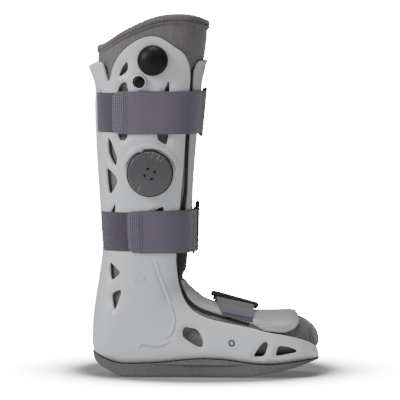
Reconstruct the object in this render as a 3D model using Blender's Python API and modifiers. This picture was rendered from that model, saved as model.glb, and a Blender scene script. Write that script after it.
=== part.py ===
"""Tall walking boot with a moulded shell, an air liner, three ring straps, a pump and a dial.

Metres, +Z up, toe along +X, outer side of the foot along -Y. The origin is on the floor, under the
middle of the boot's length, on the plane that halves the sole.
"""
from math import cos, pi, radians, sin

import bmesh
import bpy
from mathutils import Matrix, Vector

# Main sizes
BOOT_LENGTH = 0.279          # back of the flare to the tip of the toe box
BOOT_HEIGHT = 0.433          # floor to the top of the liner
LEG_WIDTH = 0.114            # over the shell at the upper strap
FOREFOOT_WIDTH = 0.110       # over the shell at the ball of the foot
RING_POINTS = 24             # corners of each section round the boot

# Layers, from the outside in
SHELL_WALL = 0.0035
PANEL_WALL = 0.0030
PAD_WALL = 0.0040
LINER_WALL = 0.0090
COLLAR_WALL = 0.0100
COLLAR_HEIGHT = 0.0068
GAP = 0.0003                 # between pieces that lie on each other

# Straps
STRAP_WIDTH = 0.0500
STRAP_THICKNESS = 0.0016
RING_WIRE = 0.0038
RING_PITCH = 0.0125          # between the two upright bars of a ring
TAB_LENGTH = 0.0135
TAB_CHAMFER = 0.0050
SLOT_WIDTH = 0.0034

# Pump, valve, dial and rivets
BULB_RADIUS = 0.0183
BULB_HEIGHT = 0.0150
BULB_RIM = 0.0020            # upright edge at the foot of the bulb
BULB_STEPS = (25, 48, 70)    # degrees up the bulb's side
COLLAR_RADIUS = 0.0091
VALVE_HEIGHT = 0.0052
COLLAR_BEVEL = 0.0010
BUTTON_RADIUS = 0.0068
BUTTON_TRAVEL = 0.0025
BUTTON_PROUD = 0.0030
BUTTON_CROWN = 0.0024
DIAL_SEAT_RADIUS = 0.0280
DIAL_SEAT_HEIGHT = 0.0050
DIAL_RADIUS = 0.0263
DIAL_HEIGHT = 0.0080
DIAL_BEVEL = 0.0024
SPINDLE_RADIUS = 0.0050
SPINDLE_LENGTH = 0.0030
RIVET_RADIUS = 0.0041
RIVET_HEIGHT = 0.0016

# Places on the side view, as shares of the boot's length and height
UPPER_STRAP_Z = 0.7270
MIDDLE_STRAP_Z = 0.4020
UPPER_STRAP_ENDS = (0.036, 0.159)    # x of a leg strap's slot and of its folded end
MIDDLE_STRAP_ENDS = (0.064, 0.222)
BULB_PLACE = (0.279, 0.874)
VALVE_PLACE = (0.220, 0.815)
DIAL_PLACE = (0.267, 0.5635)
RIVET_PLACE = (0.616, 0.0955)
FOOT_STRAP_TOP = (0.540, 0.712)      # rear and front edge of the foot strap at its ring
FOOT_STRAP_LOW = (0.578, 0.705)      # and at its lower end
FOOT_STRAP_ANGLE = radians(56)       # how far round the foot it reaches

# Sections of the boot from the open top to the toe, each a rounded outline in the plane through
# its front and back points. Columns: front x, front z, back x, back z, width, flare, keel.
# The flare moves the shell's back out, and the keel moves its underside down to the sole.
LEG_SECTIONS = [
    (0.545, 1.039, 0.029, 1.039, 1.088, 0.040, 0.0),
    (0.516, 0.905, 0.028, 0.905, 1.053, 0.034, 0.0),
    (0.505, 0.859, 0.026, 0.859, 1.032, 0.026, 0.0),
    (0.490, 0.813, 0.026, 0.813, 1.010, 0.0, 0.0),
    (0.478, 0.739, 0.029, 0.739, 1.000, 0.0, 0.0),
    (0.461, 0.624, 0.036, 0.624, 0.982, 0.0, 0.0),
    (0.449, 0.513, 0.047, 0.513, 0.930, 0.0, 0.0),
    (0.444, 0.406, 0.057, 0.406, 0.851, 0.0, 0.0),
    (0.441, 0.344, 0.061, 0.344, 0.798, 0.0, 0.0),
    (0.434, 0.293, 0.043, 0.261, 0.768, 0.0, 0.0),
    (0.421, 0.275, 0.028, 0.199, 0.760, 0.0, 0.0),
]
FOOT_SECTIONS = [
    (0.430, 0.254, 0.019, 0.134, 0.782, 0.0, 0.0),
    (0.455, 0.238, 0.028, 0.069, 0.778, 0.0, 0.004),
    (0.478, 0.226, 0.113, 0.040, 0.773, 0.0, 0.014),
    (0.497, 0.216, 0.242, 0.038, 0.773, 0.0, 0.018),
    (0.543, 0.205, 0.385, 0.046, 0.785, 0.0, 0.018),
    (0.622, 0.193, 0.554, 0.050, 0.850, 0.0, 0.018),
    (0.708, 0.181, 0.686, 0.040, 0.940, 0.0, 0.018),
    (0.794, 0.180, 0.794, 0.037, 1.000, 0.0, 0.018),
    (0.873, 0.180, 0.873, 0.042, 0.973, 0.0, 0.018),
    (0.937, 0.165, 0.937, 0.050, 0.845, 0.0, 0.016),
    (0.980, 0.146, 0.980, 0.060, 0.640, 0.0, 0.012),
    (1.003, 0.124, 1.003, 0.074, 0.390, 0.0, 0.008),
]
TOE_TIP = (1.013, 0.097)
# How square each half of a section is: 2 is an ellipse, more is squarer.
LEG_SQUARENESS = (2.7, 2.4)
FOOT_SQUARENESS = (2.3, 3.4)

# Side view outlines, as x and z shares of the boot's length and height
SHELL_BACK = [(-0.075, 0.075), (-0.075, 0.836)]
SHELL_TOP = [
    (0.000, 0.858), (0.040, 0.870), (0.054, 0.867), (0.065, 0.857), (0.074, 0.835), (0.082, 0.816),
    (0.088, 0.814), (0.096, 0.824), (0.109, 0.857), (0.129, 0.882), (0.162, 0.907), (0.212, 0.929),
    (0.245, 0.937), (0.277, 0.940), (0.307, 0.937), (0.335, 0.928), (0.376, 0.909), (0.409, 0.896),
    (0.429, 0.877), (0.440, 0.853),
]
SHELL_FRONT = [
    (0.442, 0.827), (0.438, 0.790), (0.420, 0.665), (0.410, 0.563), (0.396, 0.471), (0.378, 0.332),
    (0.384, 0.289), (0.392, 0.256), (0.408, 0.221), (0.430, 0.198), (0.453, 0.183), (0.500, 0.166),
    (0.549, 0.157), (0.716, 0.136), (0.756, 0.128), (0.825, 0.120), (0.874, 0.114), (0.923, 0.105),
    (0.956, 0.097), (0.979, 0.086), (0.991, 0.070), (0.993, 0.055),
]
SOLE_LINE = [
    (0.992, 0.051), (0.906, 0.045), (0.832, 0.037), (0.776, 0.035), (0.710, 0.036), (0.647, 0.043),
    (0.592, 0.048), (0.483, 0.051), (0.397, 0.046), (0.295, 0.039), (0.227, 0.037), (0.141, 0.037),
    (0.089, 0.045), (0.048, 0.058), (0.022, 0.070),
]
SOLE_BOTTOM = [
    (0.020, 0.064), (0.026, 0.045), (0.055, 0.029), (0.089, 0.018), (0.123, 0.008), (0.151, 0.0),
    (0.652, 0.0), (0.703, 0.004), (0.776, 0.012), (0.851, 0.021), (0.906, 0.031), (0.954, 0.042),
    (0.995, 0.048),
]
# Plan of half the sole: x as a share of the length, y as a share of half the forefoot width
SOLE_PLAN = [
    (0.0185, 0.16), (0.026, 0.35), (0.044, 0.52), (0.080, 0.66), (0.140, 0.75), (0.231, 0.79),
    (0.375, 0.79), (0.500, 0.82), (0.608, 0.88), (0.708, 0.97), (0.801, 1.02), (0.873, 0.99),
    (0.930, 0.88), (0.964, 0.73), (0.985, 0.50), (0.994, 0.22),
]
SHIN_PANEL = [
    (0.560, 0.875), (0.505, 0.874), (0.487, 0.871), (0.471, 0.862), (0.459, 0.841), (0.456, 0.790),
    (0.440, 0.624), (0.436, 0.513), (0.428, 0.471), (0.415, 0.390), (0.412, 0.352), (0.560, 0.352),
]
FOOT_PANEL = [
    (0.404, 0.277), (0.412, 0.249), (0.430, 0.224), (0.455, 0.206), (0.490, 0.192), (0.552, 0.179),
    (0.644, 0.163), (0.706, 0.152), (0.735, 0.140), (0.756, 0.131), (0.790, 0.129), (0.825, 0.126),
    (0.855, 0.128), (0.887, 0.138), (0.903, 0.149), (0.906, 0.158), (0.900, 0.166), (0.893, 0.171),
    (0.893, 0.240), (0.560, 0.300), (0.430, 0.300),
]
PAD = [
    (0.560, 0.868), (0.495, 0.866), (0.470, 0.860), (0.452, 0.845), (0.446, 0.827), (0.443, 0.790),
    (0.427, 0.624), (0.422, 0.513), (0.411, 0.471), (0.393, 0.345), (0.397, 0.300), (0.401, 0.268),
    (0.410, 0.241), (0.427, 0.216), (0.452, 0.197), (0.490, 0.183), (0.552, 0.172), (0.644, 0.156),
    (0.690, 0.149), (0.690, 0.260), (0.560, 0.345),
]
LINER_TOP = [
    (-0.075, 0.910), (0.044, 0.917), (0.081, 0.931), (0.138, 0.954), (0.170, 0.963), (0.253, 0.986),
    (0.314, 0.997), (0.375, 1.000), (0.439, 0.999), (0.478, 0.995), (0.507, 0.988), (0.518, 0.975),
    (0.600, 0.955),
]
VENTS = {
    "triangle": [(0.168, 0.870), (0.170, 0.845), (0.133, 0.829), (0.145, 0.851)],
    "upper_left": [(0.127, 0.667), (0.170, 0.667), (0.170, 0.806), (0.127, 0.791)],
    "upper_right": [(0.303, 0.667), (0.322, 0.658), (0.345, 0.652), (0.351, 0.808), (0.330, 0.780),
                    (0.303, 0.715)],
    "back_upper": [(0.084, 0.658), (0.083, 0.624), (0.096, 0.603), (0.115, 0.587), (0.120, 0.607),
                   (0.109, 0.626), (0.096, 0.647)],
    "back_middle": [(0.077, 0.574), (0.076, 0.560), (0.085, 0.510), (0.100, 0.515), (0.119, 0.538),
                    (0.117, 0.550), (0.100, 0.562)],
    "back_strap": [(0.111, 0.475), (0.113, 0.469), (0.104, 0.430), (0.094, 0.430), (0.097, 0.460)],
    "front_strap": [(0.326, 0.471), (0.319, 0.440), (0.280, 0.440), (0.273, 0.453)],
    "back_lower": [(0.090, 0.316), (0.113, 0.301), (0.132, 0.291), (0.125, 0.283), (0.099, 0.270),
                   (0.092, 0.285)],
    "heel": [(0.100, 0.229), (0.135, 0.239), (0.137, 0.229), (0.123, 0.203), (0.113, 0.189),
             (0.106, 0.208)],
    "arch": [(0.421, 0.136), (0.463, 0.131), (0.476, 0.120), (0.488, 0.098), (0.483, 0.086),
             (0.463, 0.089), (0.415, 0.110), (0.413, 0.125)],
    "toe_rear": [(0.754, 0.097), (0.766, 0.093), (0.764, 0.083), (0.751, 0.058),
                 (0.714, 0.058), (0.718, 0.067), (0.737, 0.087)],
    "toe_front": [(0.821, 0.086), (0.851, 0.085), (0.883, 0.078), (0.892, 0.071), (0.883, 0.067),
                  (0.811, 0.059), (0.815, 0.074)],
}

# Colours: red, green, blue, roughness
COLOURS = {
    "shell": (0.52, 0.53, 0.545, 0.38),
    "panel": (0.42, 0.42, 0.42, 0.42),
    "rubber": (0.26, 0.255, 0.25, 0.75),
    "black": (0.012, 0.012, 0.014, 0.45),
    "liner": (0.16, 0.15, 0.145, 0.95),
    "webbing": (0.115, 0.10, 0.135, 0.9),
    "dial": (0.16, 0.16, 0.17, 0.35),
}


def new_collection(name):
    """Add an empty collection to the scene."""
    collection = bpy.data.collections.new(name)
    bpy.context.scene.collection.children.link(collection)
    return collection


def clear_scene():
    """Remove every object of the scene."""
    for thing in list(bpy.data.objects):
        bpy.data.objects.remove(thing, do_unlink=True)


clear_scene()
BOOT = new_collection("walking_boot")
CUTTERS = new_collection("cutters")


def material(name):
    """Return the plain material of a colour name, made once."""
    made = bpy.data.materials.get(name)
    if made:
        return made
    red, green, blue, roughness = COLOURS[name]
    made = bpy.data.materials.new(name)
    made.use_nodes = True
    shader = made.node_tree.nodes["Principled BSDF"]
    shader.inputs["Base Color"].default_value = (red, green, blue, 1.0)
    shader.inputs["Roughness"].default_value = roughness
    shader.inputs["Metallic"].default_value = 0.0
    return made


def place(mesh, name, colour):
    """Make an object of a mesh, as a piece, or as a cutter where no colour is given."""
    piece = bpy.data.objects.new(name, mesh)
    if colour:
        BOOT.objects.link(piece)
        mesh.materials.append(material(colour))
    else:
        CUTTERS.objects.link(piece)
        piece.hide_render = True
        piece.display_type = "WIRE"
    return piece


def side(share_x, share_z):
    """Turn shares of the boot's length and height into x and z."""
    return (share_x - 0.5) * BOOT_LENGTH, share_z * BOOT_HEIGHT


def section_rows(flare, keel):
    """Work out each section: front, middle and back points, half width and squareness."""
    rows = []
    leg = (LEG_SECTIONS, LEG_WIDTH, LEG_SQUARENESS)
    foot = (FOOT_SECTIONS, FOREFOOT_WIDTH, FOOT_SQUARENESS)
    for table, width, squareness in (leg, foot):
        for front_x, front_z, back_x, back_z, share, row_flare, row_keel in table:
            x, z = side(front_x, front_z)
            front = Vector((x, 0.0, z))
            x, z = side(back_x, back_z)
            middle = (front + Vector((x, 0.0, z))) / 2
            x, z = side(back_x - flare * row_flare, back_z - keel * row_keel)
            back = Vector((x, 0.0, z))
            rows.append((front, middle, back, share * width / 2, squareness))
    return rows


PLAIN_ROWS = section_rows(0.0, 0.0)


def superellipse(angle, squareness):
    """Point of a rounded outline: 1 at the front, -1 at the back, and its share of the width."""
    power = 2 / (squareness[0] if cos(angle) > 0 else squareness[1])
    along = abs(cos(angle)) ** power * (1 if cos(angle) > 0 else -1)
    across = abs(sin(angle)) ** power * (1 if sin(angle) > 0 else -1)
    return along, across


def section_point(row, angle):
    """Point at an angle of one section; angles below zero are on the outer side of the foot."""
    front, middle, back, half_width, squareness = row
    along, across = superellipse(angle, squareness)
    reach = front - middle if along > 0 else middle - back
    return middle + reach * along + Vector((0.0, across * half_width, 0.0))


def skin_point(position, angle):
    """Point of the boot's skin between two sections, at a share of the way from one to the next."""
    index = min(int(position), len(PLAIN_ROWS) - 2)
    share = position - index
    return section_point(PLAIN_ROWS[index], angle).lerp(section_point(PLAIN_ROWS[index + 1], angle), share)


FRAME_STEP = 0.02            # radians, and share of the way between sections, for directions


def skin_frame(position, angle, lift):
    """Lifted point of the skin, with the way out of the boot and the way round it."""
    step = FRAME_STEP
    round_it = (skin_point(position, angle + step) - skin_point(position, angle - step)).normalized()
    along_it = (skin_point(position + step, angle) - skin_point(position - step, angle)).normalized()
    out = along_it.cross(round_it).normalized()
    return skin_point(position, angle) + out * lift, out, round_it


RATE_SPREAD = 0.12           # radians either way over which the skin's length is measured
HALVINGS = 40                # rounds of halving in each search
LEG_LEVEL = len(LEG_SECTIONS) - 4    # the last leg section that a leg strap's height is sought before


def position_where(wanted, coordinate, angle, first, last):
    """Find by halving where between two sections a coordinate of the skin has the wanted value."""
    rising = skin_point(last, angle)[coordinate] > skin_point(first, angle)[coordinate]
    for _ in range(HALVINGS):
        middle = (first + last) / 2
        if (skin_point(middle, angle)[coordinate] < wanted) == rising:
            first = middle
        else:
            last = middle
    return first


def angle_where(wanted_x, position):
    """Find by halving the angle on the outer side at which a section has the wanted x."""
    front, back = 0.0, -pi
    for _ in range(HALVINGS):
        middle = (front + back) / 2
        if skin_point(position, middle)[0] > wanted_x:
            front = middle
        else:
            back = middle
    return front


def arc_rate(position, angle):
    """Length of skin for each radian of angle, near an angle."""
    ahead = skin_point(position, angle + RATE_SPREAD)
    behind = skin_point(position, angle - RATE_SPREAD)
    return (ahead - behind).length / (2 * RATE_SPREAD)


def boot_form(name, inset, flare=0.0, keel=0.0):
    """Closed solid of the whole boot, its skin moved in by an inset (out, if it is negative)."""
    rows = section_rows(flare, keel)
    shape = bmesh.new()
    rings = []
    for row in rows:
        angles = [2 * pi * i / RING_POINTS for i in range(RING_POINTS)]
        rings.append([shape.verts.new(section_point(row, angle)) for angle in angles])
    x, z = side(*TOE_TIP)
    tip = shape.verts.new((x, 0.0, z))
    for ring, following in zip(rings, rings[1:]):
        for i in range(RING_POINTS):
            j = (i + 1) % RING_POINTS
            first, second = (i, j) if i < RING_POINTS / 2 else (j, i)
            shape.faces.new((ring[first], ring[second], following[second]))
            shape.faces.new((ring[first], following[second], following[first]))
    for i in range(RING_POINTS):
        shape.faces.new((rings[-1][i], rings[-1][(i + 1) % RING_POINTS], tip))
    bmesh.ops.recalc_face_normals(shape, faces=shape.faces)
    shape.normal_update()
    # Normals of the open skin point away from the middle of the leg.
    sample = rings[4][0]
    sign = 1 if sample.normal.x > 0 else -1
    moves = {vert: vert.normal * (-inset * sign) for vert in shape.verts}
    for vert, move in moves.items():
        if vert in rings[0]:
            move.z = 0.0
        vert.co += move
    shape.faces.new(rings[0])
    bmesh.ops.recalc_face_normals(shape, faces=shape.faces)
    mesh = bpy.data.meshes.new(name)
    shape.to_mesh(mesh)
    shape.free()
    return place(mesh, name, None)


def slab(name, outline, near, far, axes="XZ", colour=None):
    """Flat outline given thickness: in the side view between two y, or in plan between two z."""
    curve = bpy.data.curves.new(name, "CURVE")
    curve.dimensions = "2D"
    curve.fill_mode = "BOTH"
    curve.extrude = abs(far - near) / 2
    spline = curve.splines.new("POLY")
    spline.points.add(len(outline) - 1)
    for point, (a, b) in zip(spline.points, outline):
        point.co = (a, b, 0.0, 1.0)
    spline.use_cyclic_u = True
    drawn = bpy.data.objects.new(name, curve)
    CUTTERS.objects.link(drawn)
    if axes == "XZ":
        drawn.matrix_world = Matrix.Translation((0, (near + far) / 2, 0)) @ Matrix.Rotation(pi / 2, 4, "X")
    else:
        drawn.matrix_world = Matrix.Translation((0, 0, (near + far) / 2))
    return curve_to_mesh(drawn, name, colour)


def curve_to_mesh(drawn, name, colour):
    """Replace a curve object by a closed mesh object in world space."""
    bpy.context.view_layer.update()
    evaluated = drawn.evaluated_get(bpy.context.evaluated_depsgraph_get())
    mesh = bpy.data.meshes.new_from_object(evaluated)
    mesh.transform(drawn.matrix_world)
    mesh.materials.clear()
    bpy.data.objects.remove(drawn, do_unlink=True)
    shape = bmesh.new()
    shape.from_mesh(mesh)
    bmesh.ops.remove_doubles(shape, verts=shape.verts, dist=1e-6)
    bmesh.ops.recalc_face_normals(shape, faces=shape.faces)
    shape.to_mesh(mesh)
    shape.free()
    return place(mesh, name, colour)


def cut(piece, cutter, operation="DIFFERENCE"):
    """Add a Boolean to a piece."""
    modifier = piece.modifiers.new(cutter.name, "BOOLEAN")
    modifier.operation = operation
    modifier.solver = "EXACT"
    modifier.object = cutter


def as_piece(form, name, colour):
    """Copy a form's mesh into a piece of the boot."""
    return place(form.data.copy(), name, colour)


def shares(outline, raise_by=0.0):
    """Turn an outline of shares into x and z, raised by a length."""
    points = [side(*point) for point in outline]
    return [(x, z + raise_by) for x, z in points]


def outline_slab(name, outline):
    """Side view outline cut right across the boot."""
    return slab(name, outline, -LEG_WIDTH, LEG_WIDTH)


def build_shell(forms):
    """One moulded shell: outer skin less inner skin, cut to its side view, vented and slotted."""
    shell = as_piece(forms["shell_outside"], "rear_shell", "shell")
    cut(shell, forms["shell_inside"])
    profile = shares(SHELL_BACK) + shares(SHELL_TOP) + shares(SHELL_FRONT) + shares(SOLE_LINE, GAP)
    cut(shell, outline_slab("shell_profile", profile), "INTERSECT")
    for vent, outline in VENTS.items():
        cut(shell, outline_slab("vent_" + vent, shares(outline)))
    return shell


def build_sole():
    """Rocker sole: its side view, cut to its plan."""
    sole = slab("outsole", shares(SOLE_LINE) + shares(SOLE_BOTTOM), -LEG_WIDTH, LEG_WIDTH, colour="rubber")
    half = [((x - 0.5) * BOOT_LENGTH, y * FOREFOOT_WIDTH / 2) for x, y in SOLE_PLAN]
    plan = half + [(x, -y) for x, y in reversed(half)]
    cut(sole, slab("sole_plan", plan, -BOOT_HEIGHT, BOOT_HEIGHT, axes="XY"), "INTERSECT")


def grow(outline, distance):
    """Move each corner of an outline out by a small distance."""
    grown = []
    turning = 0.0
    for (x, z), (next_x, next_z) in zip(outline, outline[1:] + outline[:1]):
        turning += x * next_z - next_x * z
    sign = 1 if turning > 0 else -1
    for i, point in enumerate(outline):
        before = Vector(point) - Vector(outline[i - 1])
        after = Vector(outline[(i + 1) % len(outline)]) - Vector(point)
        out = (before.normalized() + after.normalized()).normalized()
        grown.append((point[0] + sign * out.y * distance, point[1] - sign * out.x * distance))
    return grown


def build_front(forms):
    """Plates over the shin and the foot, and the pad under them."""
    for name, outline in (("shin_panel", SHIN_PANEL), ("foot_panel", FOOT_PANEL)):
        panel = as_piece(forms["outside"], name, "panel")
        cut(panel, forms["panel_inside"])
        cut(panel, outline_slab(name + "_profile", shares(outline)), "INTERSECT")
    pad = as_piece(forms["pad_outside"], "front_pad", "black")
    cut(pad, forms["pad_inside"])
    cut(pad, outline_slab("pad_profile", shares(PAD)), "INTERSECT")


def build_liner(forms):
    """Padded boot with an open top, recessed where the pad lies, and the bound edge over it."""
    top = shares(LINER_TOP)
    floor = [(BOOT_LENGTH, -GAP), (-BOOT_LENGTH, -GAP)]
    liner = as_piece(forms["liner_outside"], "liner", "liner")
    cut(liner, forms["liner_inside"])
    lowered = [(x, z - COLLAR_HEIGHT - GAP) for x, z in top]
    cut(liner, outline_slab("liner_profile", lowered + floor), "INTERSECT")
    cut(liner, forms["pad_room"])
    collar = as_piece(forms["collar_outside"], "liner_collar", "liner")
    cut(collar, forms["collar_inside"])
    band = top + [(x, z - COLLAR_HEIGHT) for x, z in reversed(top)]
    cut(collar, outline_slab("collar_profile", band), "INTERSECT")


def band_sheet(name, columns, colour):
    """Webbing: a sheet through columns of skin places, thickened about its middle.

    Each column holds points across the webbing, from its low edge to its high edge.
    """
    shape = bmesh.new()
    grid = [[shape.verts.new(point) for point in column] for column in columns]
    for column, following in zip(grid, grid[1:]):
        for i in range(len(column) - 1):
            shape.faces.new((column[i], following[i], following[i + 1], column[i + 1]))
    mesh = bpy.data.meshes.new(name)
    shape.to_mesh(mesh)
    shape.free()
    piece = place(mesh, name, colour)
    solidify = piece.modifiers.new("thickness", "SOLIDIFY")
    solidify.thickness = STRAP_THICKNESS
    solidify.offset = 0.0
    solidify.use_even_offset = True
    return piece


UNDER_LIFT = GAP + STRAP_THICKNESS / 2
FOLD_RADIUS = RING_WIRE / 2 + GAP + STRAP_THICKNESS / 2
OVER_LIFT = UNDER_LIFT + STRAP_THICKNESS + GAP
TOP_LIFT = UNDER_LIFT + 2 * FOLD_RADIUS
FOLD_LIES_DOWN = 0.32        # radians round the boot over which a folded end comes down
INNER_FOLD = 5               # length of the inner side's fold, in half pitches of the ring
LEG_ACROSS = 2               # faces across each leg strap
FOOT_ACROSS = 4              # faces across the foot strap, which bends over the instep
FOLD_STEPS = 5               # faces round each fold
FOOT_STRAP_REACH = 9         # foot sections among which the foot strap's places are sought


def fold(base, out, onward):
    """Webbing turned back round a ring's bar: its columns, and the bar's two ends.

    The webbing lies straight along the bar, from the first to the last point of its column.
    """
    flat = [base[0].lerp(base[-1], i / (len(base) - 1)) for i in range(len(base))]
    columns = []
    for i in range(FOLD_STEPS + 1):
        turn = pi * i / FOLD_STEPS
        shift = out * (FOLD_RADIUS * (1 - cos(turn))) + onward * (FOLD_RADIUS * sin(turn))
        columns.append([point + shift for point in flat])
    return columns, (flat[0] + out * FOLD_RADIUS, flat[-1] + out * FOLD_RADIUS)


def ring_angles(start, end):
    """Angles of the boot's own corners between two angles, with both ends."""
    step = 2 * pi / RING_POINTS
    low, high = min(start, end), max(start, end)
    corners = [i * step for i in range(-RING_POINTS, RING_POINTS)]
    inner = [corner for corner in corners if low + step / 4 < corner < high - step / 4]
    angles = [low] + inner + [high]
    return angles if start < end else angles[::-1]


class LegStrap:
    """Strap round the leg: a height, and the angles where it starts, folds and ends."""

    def __init__(self, name, middle, slot_x, fold_end_x):
        self.name = name
        self.middle = middle * BOOT_HEIGHT
        self.position = position_where(self.middle, 2, 0.0, 0, LEG_LEVEL)
        self.slot = angle_where((slot_x - 0.5) * BOOT_LENGTH, self.position)
        self.bar = -RING_PITCH / 2 / self.arc_rate(0.0)
        self.fold_end = angle_where((fold_end_x - 0.5) * BOOT_LENGTH, self.position)
        self.tab_end = self.fold_end - (TAB_LENGTH + GAP) / self.arc_rate(self.fold_end)

    def arc_rate(self, angle):
        """Length of skin for each radian of angle, near an angle."""
        return arc_rate(self.position, angle)

    def column(self, angle, lift, trim=0.0):
        """Points across the strap at one angle."""
        points = []
        for i in range(LEG_ACROSS + 1):
            height = self.middle + (i / LEG_ACROSS - 0.5) * (STRAP_WIDTH - 2 * trim)
            position = position_where(height, 2, 0.0, 0, LEG_LEVEL)
            points.append(skin_frame(position, angle, lift)[0])
        return points

    def half(self, sign, end_angle):
        """Columns of the webbing on one side, out of its slot, round the ring and back."""
        bar = sign * self.bar
        slot = sign * self.slot
        columns = [self.column(slot, -SHELL_WALL)]
        columns += [self.column(angle, UNDER_LIFT) for angle in ring_angles(slot, bar)]
        _, out, round_it = skin_frame(self.position, bar, UNDER_LIFT)
        turned_back, centre = fold(columns.pop(), out, round_it * sign)
        columns += turned_back
        for angle in ring_angles(bar, end_angle)[1:]:
            distance = min(abs(angle - bar) / FOLD_LIES_DOWN, 1.0)
            columns.append(self.column(angle, TOP_LIFT + (OVER_LIFT - TOP_LIFT) * distance))
        return columns, centre

    def tab(self):
        """Columns of the hook tab, narrower at its free end."""
        start = self.fold_end - GAP / self.arc_rate(self.fold_end)
        chamfer = self.tab_end + TAB_CHAMFER / self.arc_rate(self.tab_end)
        columns = [self.column(start, OVER_LIFT), self.column(chamfer, OVER_LIFT)]
        return columns + [self.column(self.tab_end, OVER_LIFT, TAB_CHAMFER)]

    def build(self):
        """Make the webbing on both sides, the tab and the ring."""
        outer, outer_bar = self.half(1, self.fold_end)
        inner, inner_bar = self.half(-1, -self.bar * INNER_FOLD)
        band_sheet(self.name + "_strap", outer, "webbing")
        band_sheet(self.name + "_strap_inner", inner, "webbing")
        band_sheet(self.name + "_tab", self.tab(), "webbing")
        ring_loop(self.name + "_ring", outer_bar, inner_bar)

    def slots(self):
        """Cutters of the two slots in the shell that the strap comes out of."""
        for sign in (1, -1):
            point, out, round_it = skin_frame(self.position, sign * self.slot, 0.0)
            size = (SLOT_WIDTH, 4 * SHELL_WALL, STRAP_WIDTH + 4 * STRAP_THICKNESS)
            yield box(self.name + ("_slot_near" if sign > 0 else "_slot_far"), size, point, round_it, out)


def box(name, size, centre, first_axis, second_axis):
    """Box cutter with its first two sides along two given directions."""
    shape = bmesh.new()
    bmesh.ops.create_cube(shape, size=1.0)
    third_axis = first_axis.cross(second_axis).normalized()
    turn = Matrix((first_axis, second_axis, third_axis)).transposed().to_4x4()
    matrix = Matrix.Translation(centre) @ turn @ Matrix.Diagonal((*size, 1.0))
    bmesh.ops.transform(shape, matrix=matrix, verts=shape.verts)
    bmesh.ops.recalc_face_normals(shape, faces=shape.faces)
    mesh = bpy.data.meshes.new(name)
    shape.to_mesh(mesh)
    shape.free()
    return place(mesh, name, None)


def ring_loop(name, first_bar, second_bar):
    """Rectangular wire ring along two bars, each given by the ends of the webbing on it."""
    corners = []
    for low, high in (first_bar, second_bar[::-1]):
        past = (high - low).normalized() * (2 * GAP + RING_WIRE / 2)
        corners += [low - past, high + past]
    curve = bpy.data.curves.new(name, "CURVE")
    curve.dimensions = "3D"
    curve.bevel_depth = RING_WIRE / 2
    curve.bevel_resolution = 1
    spline = curve.splines.new("POLY")
    points = []
    for i, corner in enumerate(corners):
        for neighbour in (corners[i - 1], corners[(i + 1) % 4]):
            points.append(corner + (neighbour - corner).normalized() * RING_WIRE / 2)
    spline.points.add(len(points) - 1)
    for point, place_at in zip(spline.points, points):
        point.co = (*place_at, 1.0)
    spline.use_cyclic_u = True
    drawn = bpy.data.objects.new(name, curve)
    CUTTERS.objects.link(drawn)
    return curve_to_mesh(drawn, name, "black")


def turned(name, profile, centre, colour, sides=20):
    """Turned piece on the shell's outer side: radius and height pairs, height out along -Y."""
    shape = bmesh.new()
    rings = []
    x, y, z = centre
    for radius, height in profile:
        ring = []
        for i in range(sides if radius > 0.0 else 1):
            turn = 2 * pi * i / sides
            ring.append(shape.verts.new((x + radius * cos(turn), y - height, z + radius * sin(turn))))
        rings.append(ring)
    for ring, following in zip(rings, rings[1:] + rings[:1]):
        if len(ring) == 1 and len(following) == 1:
            continue
        for i in range(sides):
            j = (i + 1) % sides
            corners = [ring[i % len(ring)], ring[j % len(ring)], following[j % len(following)],
                       following[i % len(following)]]
            shape.faces.new(list(dict.fromkeys(corners)))
    bmesh.ops.recalc_face_normals(shape, faces=shape.faces)
    mesh = bpy.data.meshes.new(name)
    shape.to_mesh(mesh)
    shape.free()
    return place(mesh, name, colour)


def skin_y(share_place):
    """Depth of the skin on the outer side at a place of the side view."""
    x, z = side(*share_place)
    if share_place[1] > 0.3:
        position = position_where(z, 2, 0.0, 0, LEG_LEVEL)
        return x, skin_point(position, angle_where(x, position))[1], z
    position = position_where(x, 0, -pi / 2, len(LEG_SECTIONS), len(PLAIN_ROWS) - 2)
    low, high = -pi, 0.0
    for _ in range(HALVINGS):
        middle = (low + high) / 2
        position = position_where(x, 0, middle, len(LEG_SECTIONS), len(PLAIN_ROWS) - 2)
        if skin_point(position, middle)[2] < z:
            low = middle
        else:
            high = middle
    return x, skin_point(position, low)[1], z


def build_pump(forms):
    """Rubber bulb and the valve below it."""
    sunk = SHELL_WALL
    centre = skin_y(BULB_PLACE)
    dome = [(0.0, -sunk), (BULB_RADIUS, -sunk), (BULB_RADIUS, BULB_RIM)]
    for degrees in BULB_STEPS:
        rise = (BULB_HEIGHT - BULB_RIM) * sin(radians(degrees))
        dome.append((BULB_RADIUS * cos(radians(degrees)), BULB_RIM + rise))
    bulb = turned("pump_bulb", dome + [(0.0, BULB_HEIGHT)], centre, "black")
    cut(bulb, forms["seat"])
    centre = skin_y(VALVE_PLACE)
    inside = BUTTON_RADIUS + GAP
    profile = [
        (inside, -sunk), (COLLAR_RADIUS, -sunk), (COLLAR_RADIUS, VALVE_HEIGHT - COLLAR_BEVEL),
        (COLLAR_RADIUS - COLLAR_BEVEL / 2, VALVE_HEIGHT), (inside, VALVE_HEIGHT),
    ]
    collar = turned("valve_collar", profile, centre, "shell")
    cut(collar, forms["seat"])
    foot = BUTTON_TRAVEL + 3 * GAP
    top = VALVE_HEIGHT + BUTTON_PROUD
    profile = [
        (0.0, foot), (BUTTON_RADIUS, foot), (BUTTON_RADIUS, top - BUTTON_CROWN),
        (BUTTON_RADIUS * 0.8, top - BUTTON_CROWN * 0.4), (0.0, top),
    ]
    turned("valve_button", profile, centre, "black")


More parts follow.
